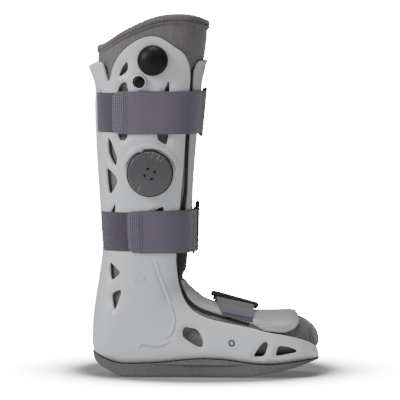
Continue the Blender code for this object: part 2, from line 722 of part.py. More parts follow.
def build_dial(forms):
    """Round seat moulded to the shell's curve, and the dial that turns on it."""
    centre = skin_y(DIAL_PLACE)
    bore = SPINDLE_RADIUS + GAP
    sunk = 2 * SHELL_WALL
    profile = [
        (bore, -sunk), (DIAL_SEAT_RADIUS, -sunk), (DIAL_SEAT_RADIUS, DIAL_SEAT_HEIGHT),
        (bore, DIAL_SEAT_HEIGHT),
    ]
    seat = turned("dial_seat", profile, centre, "black")
    cut(seat, forms["seat"])
    low = DIAL_SEAT_HEIGHT + GAP
    top = low + DIAL_HEIGHT
    foot = low - SPINDLE_LENGTH
    profile = [
        (0.0, foot), (SPINDLE_RADIUS, foot), (SPINDLE_RADIUS, low), (DIAL_RADIUS, low),
        (DIAL_RADIUS, top - DIAL_BEVEL), (DIAL_RADIUS - DIAL_BEVEL * 0.75, top), (0.0, top),
    ]
    turned("selector_dial", profile, centre, "dial")


def build_rivets(forms):
    """Low round heads at the midfoot, one on each side."""
    x, y, z = skin_y(RIVET_PLACE)
    profile = [(0.0, -SHELL_WALL), (RIVET_RADIUS, -SHELL_WALL), (RIVET_RADIUS, RIVET_HEIGHT * 0.6),
               (RIVET_RADIUS * 0.75, RIVET_HEIGHT), (0.0, RIVET_HEIGHT)]
    near = turned("sole_rivet_outer", profile, (x, y, z), "shell", sides=16)
    cut(near, forms["seat"])
    mesh = near.data.copy()
    mesh.transform(Matrix.Diagonal((1.0, -1.0, 1.0, 1.0)))
    mesh.flip_normals()
    mesh.materials.clear()
    cut(place(mesh, "sole_rivet_inner", "shell"), forms["seat"])


def build_foot_strap():
    """Strap over the instep: ring on top, webbing folded down on the outer side."""
    first = len(LEG_SECTIONS)
    last = first + FOOT_STRAP_REACH
    rear, front = FOOT_STRAP_TOP
    rear_low, front_low = FOOT_STRAP_LOW

    def column(angle, lift, share):
        """Points across the strap at an angle; the share goes from the top to the low edge."""
        points = []
        for i in range(FOOT_ACROSS + 1):
            top_x = rear + (front - rear) * i / FOOT_ACROSS
            low_x = rear_low + (front_low - rear_low) * i / FOOT_ACROSS
            x, _ = side(top_x + (low_x - top_x) * share, 0.0)
            position = position_where(x, 0, angle, first, last)
            points.append(skin_frame(position, angle, lift)[0])
        return points

    middle = position_where(side((rear + front) / 2, 0.0)[0], 0, 0.0, first, last)
    bar = RING_PITCH / 2 / arc_rate(middle, 0.0)
    bars = []
    for sign, name, end in ((1, "foot_strap", FOOT_STRAP_ANGLE), (-1, "foot_strap_inner", bar * INNER_FOLD)):
        angle = -sign * bar
        start = -sign * FOOT_STRAP_ANGLE
        columns = [column(a, UNDER_LIFT, abs(a) / FOOT_STRAP_ANGLE) for a in ring_angles(start, angle)]
        _, out, round_it = skin_frame(middle, angle, UNDER_LIFT)
        turned_back, ends = fold(columns.pop(), out, round_it * sign)
        columns += turned_back
        bars.append(ends)
        for a in ring_angles(angle, -sign * end)[1:]:
            distance = min(abs(a - angle) / FOLD_LIES_DOWN, 1.0)
            lift = TOP_LIFT + (OVER_LIFT - TOP_LIFT) * distance
            columns.append(column(a, lift, abs(a) / FOOT_STRAP_ANGLE))
        band_sheet(name, columns, "webbing")
    ring_loop("foot_ring", *bars)


def main():
    """Build every piece."""
    forms = {
        "outside": boot_form("outside", 0.0),
        "shell_outside": boot_form("shell_outside", 0.0, flare=1.0, keel=1.0),
        "shell_inside": boot_form("shell_inside", SHELL_WALL, flare=1.0),
        "panel_inside": boot_form("panel_inside", PANEL_WALL),
        "pad_outside": boot_form("pad_outside", SHELL_WALL + GAP),
        "pad_inside": boot_form("pad_inside", SHELL_WALL + GAP + PAD_WALL),
        "liner_outside": boot_form("liner_outside", SHELL_WALL + GAP),
        "liner_inside": boot_form("liner_inside", SHELL_WALL + GAP + LINER_WALL),
        "collar_outside": boot_form("collar_outside", SHELL_WALL - GAP),
        "collar_inside": boot_form("collar_inside", SHELL_WALL - GAP + COLLAR_WALL),
        "seat": boot_form("seat", -GAP, flare=1.0, keel=1.0),
    }
    room = boot_form("pad_room", SHELL_WALL - GAP)
    cut(room, boot_form("pad_room_inside", SHELL_WALL + PAD_WALL + 2 * GAP))
    grown = outline_slab("pad_room_profile", grow(shares(PAD), GAP))
    cut(room, grown, "INTERSECT")
    forms["pad_room"] = room
    shell = build_shell(forms)
    build_sole()
    build_front(forms)
    build_liner(forms)
    straps = [
        LegStrap("upper", UPPER_STRAP_Z, *UPPER_STRAP_ENDS),
        LegStrap("middle", MIDDLE_STRAP_Z, *MIDDLE_STRAP_ENDS),
    ]
    for strap in straps:
        strap.build()
        for slot in strap.slots():
            cut(shell, slot)
    build_foot_strap()
    build_pump(forms)
    build_dial(forms)
    build_rivets(forms)


main()
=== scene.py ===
"""Looks of a tall walking boot: moulded shell, air liner, ring straps, pump, valve and dial.

Metres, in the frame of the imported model: +Z up, toe along +X, outer side along -Y. Every soft or
moulded piece is rebuilt finely on the same rounded sections that its solid follows, and the
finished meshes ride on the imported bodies.
"""
import logging
from dataclasses import dataclass, field
from enum import Enum
from math import cos, hypot, pi, radians, sin
from typing import Callable, ClassVar, Iterable, Sequence

import bmesh
import bpy
import numpy as np
from mathutils import Matrix, Vector, geometry, kdtree
from mathutils.bvhtree import BVHTree


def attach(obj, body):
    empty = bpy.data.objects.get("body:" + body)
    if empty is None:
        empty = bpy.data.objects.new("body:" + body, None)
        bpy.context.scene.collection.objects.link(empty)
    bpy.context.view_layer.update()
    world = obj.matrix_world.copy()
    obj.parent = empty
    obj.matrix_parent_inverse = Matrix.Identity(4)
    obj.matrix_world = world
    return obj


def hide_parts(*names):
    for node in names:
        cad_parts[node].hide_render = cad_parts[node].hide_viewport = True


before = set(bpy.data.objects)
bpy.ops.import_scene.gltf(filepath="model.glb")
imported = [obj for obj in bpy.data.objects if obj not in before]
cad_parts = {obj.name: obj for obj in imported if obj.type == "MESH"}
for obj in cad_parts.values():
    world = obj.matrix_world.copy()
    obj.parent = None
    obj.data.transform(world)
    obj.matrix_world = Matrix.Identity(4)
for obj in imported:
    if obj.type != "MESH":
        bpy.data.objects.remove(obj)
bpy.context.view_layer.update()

log = logging.getLogger("walking_boot")

MM = 0.001
BOOT_LENGTH = 0.279
BOOT_HEIGHT = 0.433
LEG_WIDTH = 0.114
FOREFOOT_WIDTH = 0.110
HALF_GIRTH = 0.170           # mean half girth, by which the chart of the skin is scaled
SHELL_WALL = 0.0035
PANEL_WALL = 0.0030
STRAP_WIDTH = 0.0500
STRAP_THICKNESS = 0.0014
GAP = 0.0002
RING_WIRE = 0.0032
RING_PITCH = 0.0125

Array = np.ndarray
Thing = bpy.types.Object
Socket = bpy.types.NodeSocket
Colour = tuple[float, float, float]
Outline = list[tuple[float, float]]
Relief = Callable[[Array, Array, Array], Array]


@dataclass(frozen=True)
class Section:
    """One rounded section of the boot, in shares of its length, height and width.

    Args:
        front: x and z of its front point.
        back: x and z of its back point.
        width: share of the leg's or the forefoot's width.
        flare: how far the shell's back stands off there.
        keel: how far the shell's underside is carried down.
    """

    front: tuple[float, float]
    back: tuple[float, float]
    width: float
    flare: float = 0.0
    keel: float = 0.0


LEG_SECTIONS: list[Section] = [
    Section((0.545, 1.039), (0.029, 1.039), 1.088, flare=0.040),
    Section((0.516, 0.905), (0.028, 0.905), 1.053, flare=0.034),
    Section((0.505, 0.859), (0.026, 0.859), 1.032, flare=0.026),
    Section((0.490, 0.813), (0.026, 0.813), 1.010),
    Section((0.478, 0.739), (0.029, 0.739), 1.000),
    Section((0.461, 0.624), (0.036, 0.624), 0.982),
    Section((0.449, 0.513), (0.047, 0.513), 0.930),
    Section((0.444, 0.406), (0.057, 0.406), 0.851),
    Section((0.441, 0.344), (0.061, 0.344), 0.798),
    Section((0.434, 0.293), (0.043, 0.261), 0.768),
    Section((0.421, 0.275), (0.028, 0.199), 0.760),
]
FOOT_SECTIONS: list[Section] = [
    Section((0.430, 0.254), (0.019, 0.134), 0.782),
    Section((0.455, 0.238), (0.028, 0.069), 0.778, keel=0.004),
    Section((0.478, 0.226), (0.113, 0.040), 0.773, keel=0.014),
    Section((0.497, 0.216), (0.242, 0.038), 0.773, keel=0.018),
    Section((0.543, 0.205), (0.385, 0.046), 0.785, keel=0.018),
    Section((0.622, 0.193), (0.554, 0.050), 0.850, keel=0.018),
    Section((0.708, 0.181), (0.686, 0.040), 0.940, keel=0.018),
    Section((0.794, 0.180), (0.794, 0.037), 1.000, keel=0.018),
    Section((0.873, 0.180), (0.873, 0.042), 0.973, keel=0.018),
    Section((0.937, 0.165), (0.937, 0.050), 0.845, keel=0.016),
    Section((0.980, 0.146), (0.980, 0.060), 0.640, keel=0.012),
    Section((1.003, 0.124), (1.003, 0.074), 0.390, keel=0.008),
    Section((1.010, 0.106), (1.010, 0.088), 0.120, keel=0.004),
]
LEG_SQUARENESS = (2.7, 2.4)
FOOT_SQUARENESS = (2.3, 3.4)

# Side view outlines, in shares of the boot's length and height
SHELL_TOP: Outline = [
    (-0.010, 0.853), (0.000, 0.858), (0.040, 0.870), (0.054, 0.867), (0.065, 0.857), (0.074, 0.835),
    (0.082, 0.816), (0.088, 0.814), (0.096, 0.824), (0.109, 0.857), (0.129, 0.882), (0.162, 0.907),
    (0.212, 0.929), (0.245, 0.937), (0.277, 0.940), (0.307, 0.937), (0.335, 0.928), (0.376, 0.909),
    (0.409, 0.896), (0.429, 0.877), (0.440, 0.853),
]
SHELL_FRONT: Outline = [
    (0.442, 0.827), (0.438, 0.790), (0.420, 0.665), (0.410, 0.563), (0.396, 0.471), (0.378, 0.332),
    (0.384, 0.289), (0.392, 0.256), (0.408, 0.221), (0.430, 0.198), (0.453, 0.183), (0.500, 0.166),
    (0.549, 0.157), (0.716, 0.136), (0.756, 0.128), (0.825, 0.120), (0.874, 0.114), (0.923, 0.105),
    (0.956, 0.097), (0.979, 0.086), (0.991, 0.070), (0.993, 0.055),
]
SOLE_LINE: Outline = [
    (0.992, 0.051), (0.906, 0.045), (0.832, 0.037), (0.776, 0.035), (0.710, 0.036), (0.647, 0.043),
    (0.592, 0.048), (0.483, 0.051), (0.397, 0.046), (0.295, 0.039), (0.227, 0.037), (0.141, 0.037),
    (0.089, 0.045), (0.048, 0.058), (0.022, 0.070), (-0.010, 0.074),
]
VENTS: dict[str, Outline] = {
    "triangle": [(0.168, 0.870), (0.170, 0.845), (0.133, 0.829), (0.145, 0.851)],
    "upper_left": [(0.127, 0.667), (0.170, 0.667), (0.170, 0.806), (0.127, 0.791)],
    "upper_right": [(0.303, 0.667), (0.322, 0.658), (0.345, 0.652), (0.351, 0.808), (0.330, 0.780),
                    (0.303, 0.715)],
    "back_upper": [(0.084, 0.658), (0.083, 0.624), (0.096, 0.603), (0.115, 0.587), (0.120, 0.607),
                   (0.109, 0.626), (0.096, 0.647)],
    "back_middle": [(0.077, 0.574), (0.076, 0.560), (0.085, 0.510), (0.100, 0.515), (0.119, 0.538),
                    (0.117, 0.550), (0.100, 0.562)],
    "back_strap": [(0.111, 0.475), (0.113, 0.469), (0.104, 0.430), (0.094, 0.430), (0.097, 0.460)],
    "front_strap": [(0.326, 0.471), (0.319, 0.440), (0.280, 0.440), (0.273, 0.453)],
    "back_lower": [(0.090, 0.316), (0.113, 0.301), (0.132, 0.291), (0.125, 0.283), (0.099, 0.270),
                   (0.092, 0.285)],
    "heel": [(0.100, 0.229), (0.135, 0.239), (0.137, 0.229), (0.123, 0.203), (0.113, 0.189),
             (0.106, 0.208)],
    "arch": [(0.421, 0.136), (0.463, 0.131), (0.476, 0.120), (0.488, 0.098), (0.483, 0.086),
             (0.463, 0.089), (0.415, 0.110), (0.413, 0.125)],
    "toe_rear": [(0.754, 0.097), (0.766, 0.093), (0.764, 0.083), (0.751, 0.058), (0.714, 0.058),
                 (0.718, 0.067), (0.737, 0.087)],
    "toe_front": [(0.821, 0.086), (0.851, 0.085), (0.883, 0.078), (0.892, 0.071), (0.883, 0.067),
                  (0.811, 0.059), (0.815, 0.074)],
}
SHIN_EDGE: Outline = [
    (0.487, 0.871), (0.471, 0.862), (0.459, 0.841), (0.456, 0.790), (0.440, 0.624), (0.436, 0.513),
    (0.428, 0.471), (0.415, 0.390), (0.412, 0.352),
]
FOOT_EDGE: Outline = [
    (0.406, 0.266), (0.413, 0.247), (0.430, 0.224), (0.455, 0.206), (0.490, 0.192), (0.552, 0.179),
    (0.644, 0.163), (0.706, 0.152), (0.735, 0.140), (0.756, 0.131), (0.790, 0.129), (0.825, 0.126),
    (0.855, 0.128), (0.887, 0.138), (0.903, 0.149), (0.906, 0.158), (0.900, 0.166), (0.893, 0.171),
]
PAD_EDGE: Outline = [
    (0.495, 0.866), (0.470, 0.860), (0.452, 0.845), (0.446, 0.827), (0.445, 0.790), (0.433, 0.624),
    (0.429, 0.513), (0.416, 0.471), (0.396, 0.345), (0.398, 0.300), (0.401, 0.268), (0.410, 0.241),
    (0.427, 0.216), (0.452, 0.197), (0.490, 0.183), (0.552, 0.172), (0.644, 0.156), (0.690, 0.149),
]
LINER_TOP: Outline = [
    (-0.075, 0.910), (0.044, 0.917), (0.081, 0.931), (0.138, 0.954), (0.170, 0.963), (0.253, 0.986),
    (0.314, 0.997), (0.375, 1.000), (0.439, 0.999), (0.478, 0.995), (0.507, 0.989), (0.530, 0.983),
    (0.600, 0.974),
]
BULB_PLACE = (0.279, 0.874)
VALVE_PLACE = (0.220, 0.815)
DIAL_PLACE = (0.267, 0.5635)
RIVET_PLACE = (0.616, 0.0955)
EMBLEM_PLACE = (0.220, 0.273)
MARKER_PLACE = (0.228, 0.630)
FOOT_STRAP_TOP = (0.540, 0.712)
FOOT_STRAP_LOW = (0.578, 0.705)
FOOT_STRAP_ANGLE = radians(56)


def side(share: tuple[float, float]) -> tuple[float, float]:
    """Turn shares of the boot's length and height into x and z."""
    return (share[0] - 0.5) * BOOT_LENGTH, share[1] * BOOT_HEIGHT


def smoothstep(low: float, high: float, value: Array) -> Array:
    """Rise smoothly from 0 at low to 1 at high."""
    t = np.clip((value - low) / (high - low), 0.0, 1.0)
    return t * t * (3 - 2 * t)


def rounded(outline: Sequence[tuple[float, float]], closed: bool, rounds: int = 2) -> Array:
    """Cut the corners of an outline, which rounds them.

    Args:
        outline: its points.
        closed: whether its end joins its start.
        rounds: how often each corner is cut.

    Returns:
        The points of the rounded outline.
    """
    points = np.array(outline, dtype=float)
    for _ in range(rounds):
        following = np.roll(points, -1, axis=0)
        near, far = points * 0.8 + following * 0.2, points * 0.2 + following * 0.8
        cut = np.stack([near, far], axis=1).reshape(-1, 2)
        points = cut if closed else np.vstack([points[:1], cut[1:-3], points[-1:]])
    return points


def resampled(points: Array, closed: bool, spacing: float) -> Array:
    """Spread points evenly along a polyline.

    Args:
        points: corners of the polyline.
        closed: whether its end joins its start.
        spacing: distance between new points.

    Returns:
        The new points; a closed one doesn't repeat its first point.
    """
    if closed:
        points = np.vstack([points, points[:1]])
    steps = np.linalg.norm(np.diff(points, axis=0), axis=1)
    along = np.concatenate([[0.0], np.cumsum(steps)])
    count = max(int(round(along[-1] / spacing)), 4)
    wanted = np.linspace(0.0, along[-1], count + 1)
    made = np.stack([np.interp(wanted, along, points[:, k]) for k in range(points.shape[1])], axis=1)
    return made[:-1] if closed else made


def side_line(outline: Outline, spacing: float, rounds: int = 2) -> Array:
    """Rounded course of an outline in the side view, with evenly spread points."""
    return resampled(rounded([side(p) for p in outline], False, rounds), False, spacing)


class Skin:
    """Outer skin of the boot: smooth through its sections, charted by length and girth."""

    TABLE_ROWS = 160
    TABLE_COLUMNS = 181

    def __init__(self, flare: float = 0.0, keel: float = 0.0) -> None:
        """Lay the curves through the sections.

        Args:
            flare: share of the flare that is taken.
            keel: share of the keel that is taken.
        """
        rows = []
        for table, width, squareness in ((LEG_SECTIONS, LEG_WIDTH, LEG_SQUARENESS),
                                         (FOOT_SECTIONS, FOREFOOT_WIDTH, FOOT_SQUARENESS)):
            for section in table:
                front, back = np.array(side(section.front)), np.array(side(section.back))
                middle = (front + back) / 2
                pushed = np.array(side((section.back[0] - flare * section.flare,
                                        section.back[1] - keel * section.keel)))
                rows.append([*front, *middle, *pushed, section.width * width / 2, *squareness])
        self.rows = np.array(rows)
        middles = self.rows[:, 2:4]
        self.knots = np.concatenate([[0.0], np.cumsum(np.linalg.norm(np.diff(middles, axis=0), axis=1))])
        self.length = float(self.knots[-1])
        self.slopes = np.gradient(self.rows, self.knots, axis=0)
        self.angle_table = self._girth_table()

    def _girth_table(self) -> tuple[Array, Array, Array]:
        """Tabulate the angle at each share of the half girth, back to front."""
        lengths = np.linspace(0.0, self.length, self.TABLE_ROWS)
        angles = np.linspace(pi, 0.0, self.TABLE_COLUMNS)
        shares = np.linspace(0.0, 1.0, self.TABLE_COLUMNS)
        table = []
        for length in lengths:
            points = self.at_angle(np.full(self.TABLE_COLUMNS, length), angles)
            steps = np.linalg.norm(np.diff(points, axis=0), axis=1)
            along = np.concatenate([[0.0], np.cumsum(steps)])
            table.append(np.interp(shares * along[-1], along, angles))
        return lengths, shares, np.array(table)

    def length_at_height(self, height: float) -> float:
        """Length along the leg at which the front line has a height."""
        lengths = np.linspace(0.0, self.knots[len(LEG_SECTIONS) - 1], 600)
        return float(np.interp(-height, -self.values(lengths)[:, 1], lengths))

    def values(self, length: Array) -> Array:
        """Interpolate the sections' values at lengths along the boot."""
        length = np.clip(length, 0.0, self.length)
        index = np.clip(np.searchsorted(self.knots, length, side="right") - 1, 0, len(self.knots) - 2)
        start, step = self.knots[index], self.knots[index + 1] - self.knots[index]
        t = ((length - start) / step)[:, None]
        step = step[:, None]
        a, b = self.rows[index], self.rows[index + 1]
        da, db = self.slopes[index] * step, self.slopes[index + 1] * step
        return (a * (1 + 2 * t) * (1 - t) ** 2 + da * t * (1 - t) ** 2
                + b * t * t * (3 - 2 * t) + db * t * t * (t - 1))

    def at_angle(self, length: Array, angle: Array) -> Array:
        """Points of the skin at lengths and section angles."""
        row = self.values(length)
        c, s = np.cos(angle), np.sin(angle)
        power = 2 / np.where(c > 0, row[:, 7], row[:, 8])
        along = np.abs(c) ** power * np.sign(c)
        across = np.abs(s) ** power * np.sign(s)
        front, middle, back = row[:, 0:2], row[:, 2:4], row[:, 4:6]
        reach = np.where((along > 0)[:, None], front - middle, middle - back)
        flat = middle + reach * along[:, None]
        return np.stack([flat[:, 0], across * row[:, 6], flat[:, 1]], axis=1)

    def angle(self, length: Array, girth: Array) -> Array:
        """Angle at a signed share of the half girth from the back; below zero is the outer side."""
        lengths, shares, table = self.angle_table
        row = np.clip(length / self.length, 0, 1) * (len(lengths) - 1)
        column = np.clip(np.abs(girth), 0, 1) * (len(shares) - 1)
        i, j = np.minimum(row.astype(int), len(lengths) - 2), np.minimum(column.astype(int), len(shares) - 2)
        u, v = row - i, column - j
        angle = ((table[i, j] * (1 - v) + table[i, j + 1] * v) * (1 - u)
                 + (table[i + 1, j] * (1 - v) + table[i + 1, j + 1] * v) * u)
        return np.where(girth < 0, -angle, angle)

    def point(self, length: Array, girth: Array, lift: Array | float = 0.0) -> Array:
        """Points of the skin at lengths and signed girth shares, lifted off it."""
        length, girth = np.asarray(length, dtype=float), np.asarray(girth, dtype=float)
        angle = self.angle(length, girth)
        base = self.at_angle(length, angle)
        return base + self.normal(length, angle) * np.broadcast_to(lift, length.shape)[:, None]

    def placed(self, flat: Array) -> tuple[Array, Array]:
        """Points of the skin at chart places counted from the back line, and the normals there."""
        angle = self.angle(flat[:, 1], flat[:, 0] / HALF_GIRTH)
        return self.at_angle(flat[:, 1], angle), self.normal(flat[:, 1], angle)

    def normal(self, length: Array, angle: Array) -> Array:
        """Outward normals of the skin at lengths and angles."""
        step, turn = 0.0015, 0.01
        away = np.where(np.abs(np.abs(angle) - pi) < 1e-6, np.sign(angle + 1e-9) * (pi - 1e-4), angle)
        round_it = self.at_angle(length, away + turn) - self.at_angle(length, away - turn)
        low, high = np.clip(length - step, 0, self.length), np.clip(length + step, 0, self.length)
        along_it = self.at_angle(high, away) - self.at_angle(low, away)
        out = np.cross(along_it, round_it)
        return out / np.maximum(np.linalg.norm(out, axis=1), 1e-12)[:, None]


class Chart:
    """Finds where a point of the side view lies on the outer side of a skin."""

    ROWS = 700
    COLUMNS = 260
    REFINEMENTS = 6

    def __init__(self, skin: Skin) -> None:
        """Spread a fine grid over the outer side of the skin.

        Args:
            skin: the skin that is charted.
        """
        self.skin = skin
        length, girth = np.meshgrid(np.linspace(0, skin.length, self.ROWS), np.linspace(0, 1, self.COLUMNS),
                                    indexing="ij")
        self.places = np.stack([length.ravel(), girth.ravel()], axis=1)
        points = skin.point(length.ravel(), -girth.ravel() - 1e-9)
        self.tree = kdtree.KDTree(len(points))
        for i, point in enumerate(points):
            self.tree.insert((point[0], 0.0, point[2]), i)
        self.tree.balance()

    def settled(self, targets: Array) -> Array:
        """Length and girth share of the side view points nearest to some x and z.

        Args:
            targets: x and z of each.

        Returns:
            The places, refined from the nearest ones of the grid.
        """
        best = np.array([self.places[self.tree.find((x, 0.0, z))[1]] for x, z in targets])
        steps = np.array([self.skin.length / self.ROWS, 1 / self.COLUMNS])
        limits = np.array([self.skin.length, 1.0])
        miss = targets - self.seen(best)
        for _ in range(self.REFINEMENTS):
            slopes = []
            for axis in range(2):
                ahead = best.copy()
                ahead[:, axis] += np.where(ahead[:, axis] + 0.1 * steps[axis] > limits[axis], -0.1,
                                           0.1) * steps[axis]
                slopes.append((self.seen(ahead) - self.seen(best)) / (ahead - best)[:, [axis]])
            (ax, az), (bx, bz) = slopes[0].T, slopes[1].T
            det = ax * bz - az * bx
            det = np.where(np.abs(det) < 1e-9, 1e-9, det)
            move = np.stack([miss[:, 0] * bz - miss[:, 1] * bx, ax * miss[:, 1] - az * miss[:, 0]],
                            axis=1) / det[:, None]
            tried = np.clip(best + np.clip(move, -steps, steps), 0.0, limits)
            left = targets - self.seen(tried)
            better = np.linalg.norm(left, axis=1) < np.linalg.norm(miss, axis=1)
            best[better], miss[better] = tried[better], left[better]
        return best

    def seen(self, places: Array) -> Array:
        """Side view x and z of chart places on the outer side."""
        return self.skin.point(places[:, 0], -places[:, 1] - 1e-9)[:, [0, 2]]

    def flat(self, points: Array, from_front: bool = False) -> Array:
        """Chart places of side view points, in metres: girth from a centre line, and length.

        Args:
            points: x and z of each.
            from_front: whether girth is counted from the front line and not from the back line.

        Returns:
            One row for each point, on the outer side, where girth is below zero.
        """
        length, girth = self.settled(np.asarray(points, dtype=float)).T
        share = -(1 - girth) if from_front else -girth
        return np.stack([share * HALF_GIRTH, length], axis=1)


def mirrored(points: Array) -> Array:
    """The same points on the inner side of the boot, in the opposite order."""
    return points[::-1] * np.array([-1.0, 1.0])


def inside(points: Array, polygon: Array) -> Array:
    """Tell which points lie within a closed polygon."""
    x, y = points[:, 0], points[:, 1]
    result = np.zeros(len(points), dtype=bool)
    previous = polygon[-1]
    for corner in polygon:
        crosses = (corner[1] > y) != (previous[1] > y)
        with np.errstate(divide="ignore", invalid="ignore"):
            at = (previous[0] - corner[0]) * (y - corner[1]) / (previous[1] - corner[1]) + corner[0]
        result ^= crosses & (x < at)
        previous = corner
    return result


def distance_to(points: Array, polylines: Iterable[Array], closed: bool = True) -> Array:
    """Distance from points to the nearest of some polylines."""
    best = np.full(len(points), 1.0)
    for line in polylines:
        start = line if closed else line[:-1]
        end = np.roll(line, -1, axis=0) if closed else line[1:]
        for a, b in zip(start, end):
            along = b - a
            t = np.clip(((points - a) @ along) / max(float(along @ along), 1e-18), 0.0, 1.0)
            near = a + t[:, None] * along
            best = np.minimum(best, np.hypot(points[:, 0] - near[:, 0], points[:, 1] - near[:, 1]))
    return best


def new_object(name: str, mesh: bpy.types.Mesh) -> Thing:
    """Add an object of a mesh to the scene."""
    made = bpy.data.objects.new(name, mesh)
    bpy.context.scene.collection.objects.link(made)
    return made


def mesh_from(name: str, verts: Array, faces: Sequence[Sequence[int]]) -> bpy.types.Mesh:
    """Make a mesh of vertices and faces."""
    mesh = bpy.data.meshes.new(name)
    mesh.from_pydata([tuple(v) for v in verts], [], [tuple(int(i) for i in f) for f in faces])
    mesh.update()
    return mesh


def shade(thing: Thing, degrees: float = 40.0) -> None:
    """Shade a mesh smooth, with edges sharper than an angle kept."""
    thing.data.shade_smooth()
    thing.data.set_sharp_from_angle(angle=radians(degrees))


def applied(thing: Thing) -> Thing:
    """Apply an object's modifiers to its mesh."""
    bpy.context.view_layer.update()
    evaluated = thing.evaluated_get(bpy.context.evaluated_depsgraph_get())
    mesh = bpy.data.meshes.new_from_object(evaluated)
    thing.modifiers.clear()
    old = thing.data
    thing.data = mesh
    bpy.data.meshes.remove(old)
    return thing


def recalculated(mesh: bpy.types.Mesh) -> bpy.types.Mesh:
    """Turn the faces of a closed mesh outwards."""
    shape = bmesh.new()
    shape.from_mesh(mesh)
    bmesh.ops.recalc_face_normals(shape, faces=shape.faces)
    shape.to_mesh(mesh)
    shape.free()
    return mesh


def read_vertices(mesh: bpy.types.Mesh, what: str = "co") -> Array:
    """Places or normals of a mesh's vertices."""
    values = np.empty(len(mesh.vertices) * 3)
    mesh.vertices.foreach_get(what, values)
    return values.reshape(-1, 3)


def subdivided(thing: Thing) -> Thing:
    """Divide each face of a piece once, and shade it smooth."""
    smooth = thing.modifiers.new("subdivision", "SUBSURF")
    smooth.levels = smooth.render_levels = 1
    applied(thing)
    thing.data.shade_smooth()
    return thing


def ring_faces(rings: int, size: int, closed: bool = False) -> list[tuple[int, ...]]:
    """Faces between neighbouring rings of points; closed ones also join the last ring to the first."""
    return [(k * size + i, k * size + (i + 1) % size, m * size + (i + 1) % size, m * size + i)
            for k, m in ((k, (k + 1) % rings) for k in range(rings if closed else rings - 1))
            for i in range(size)]


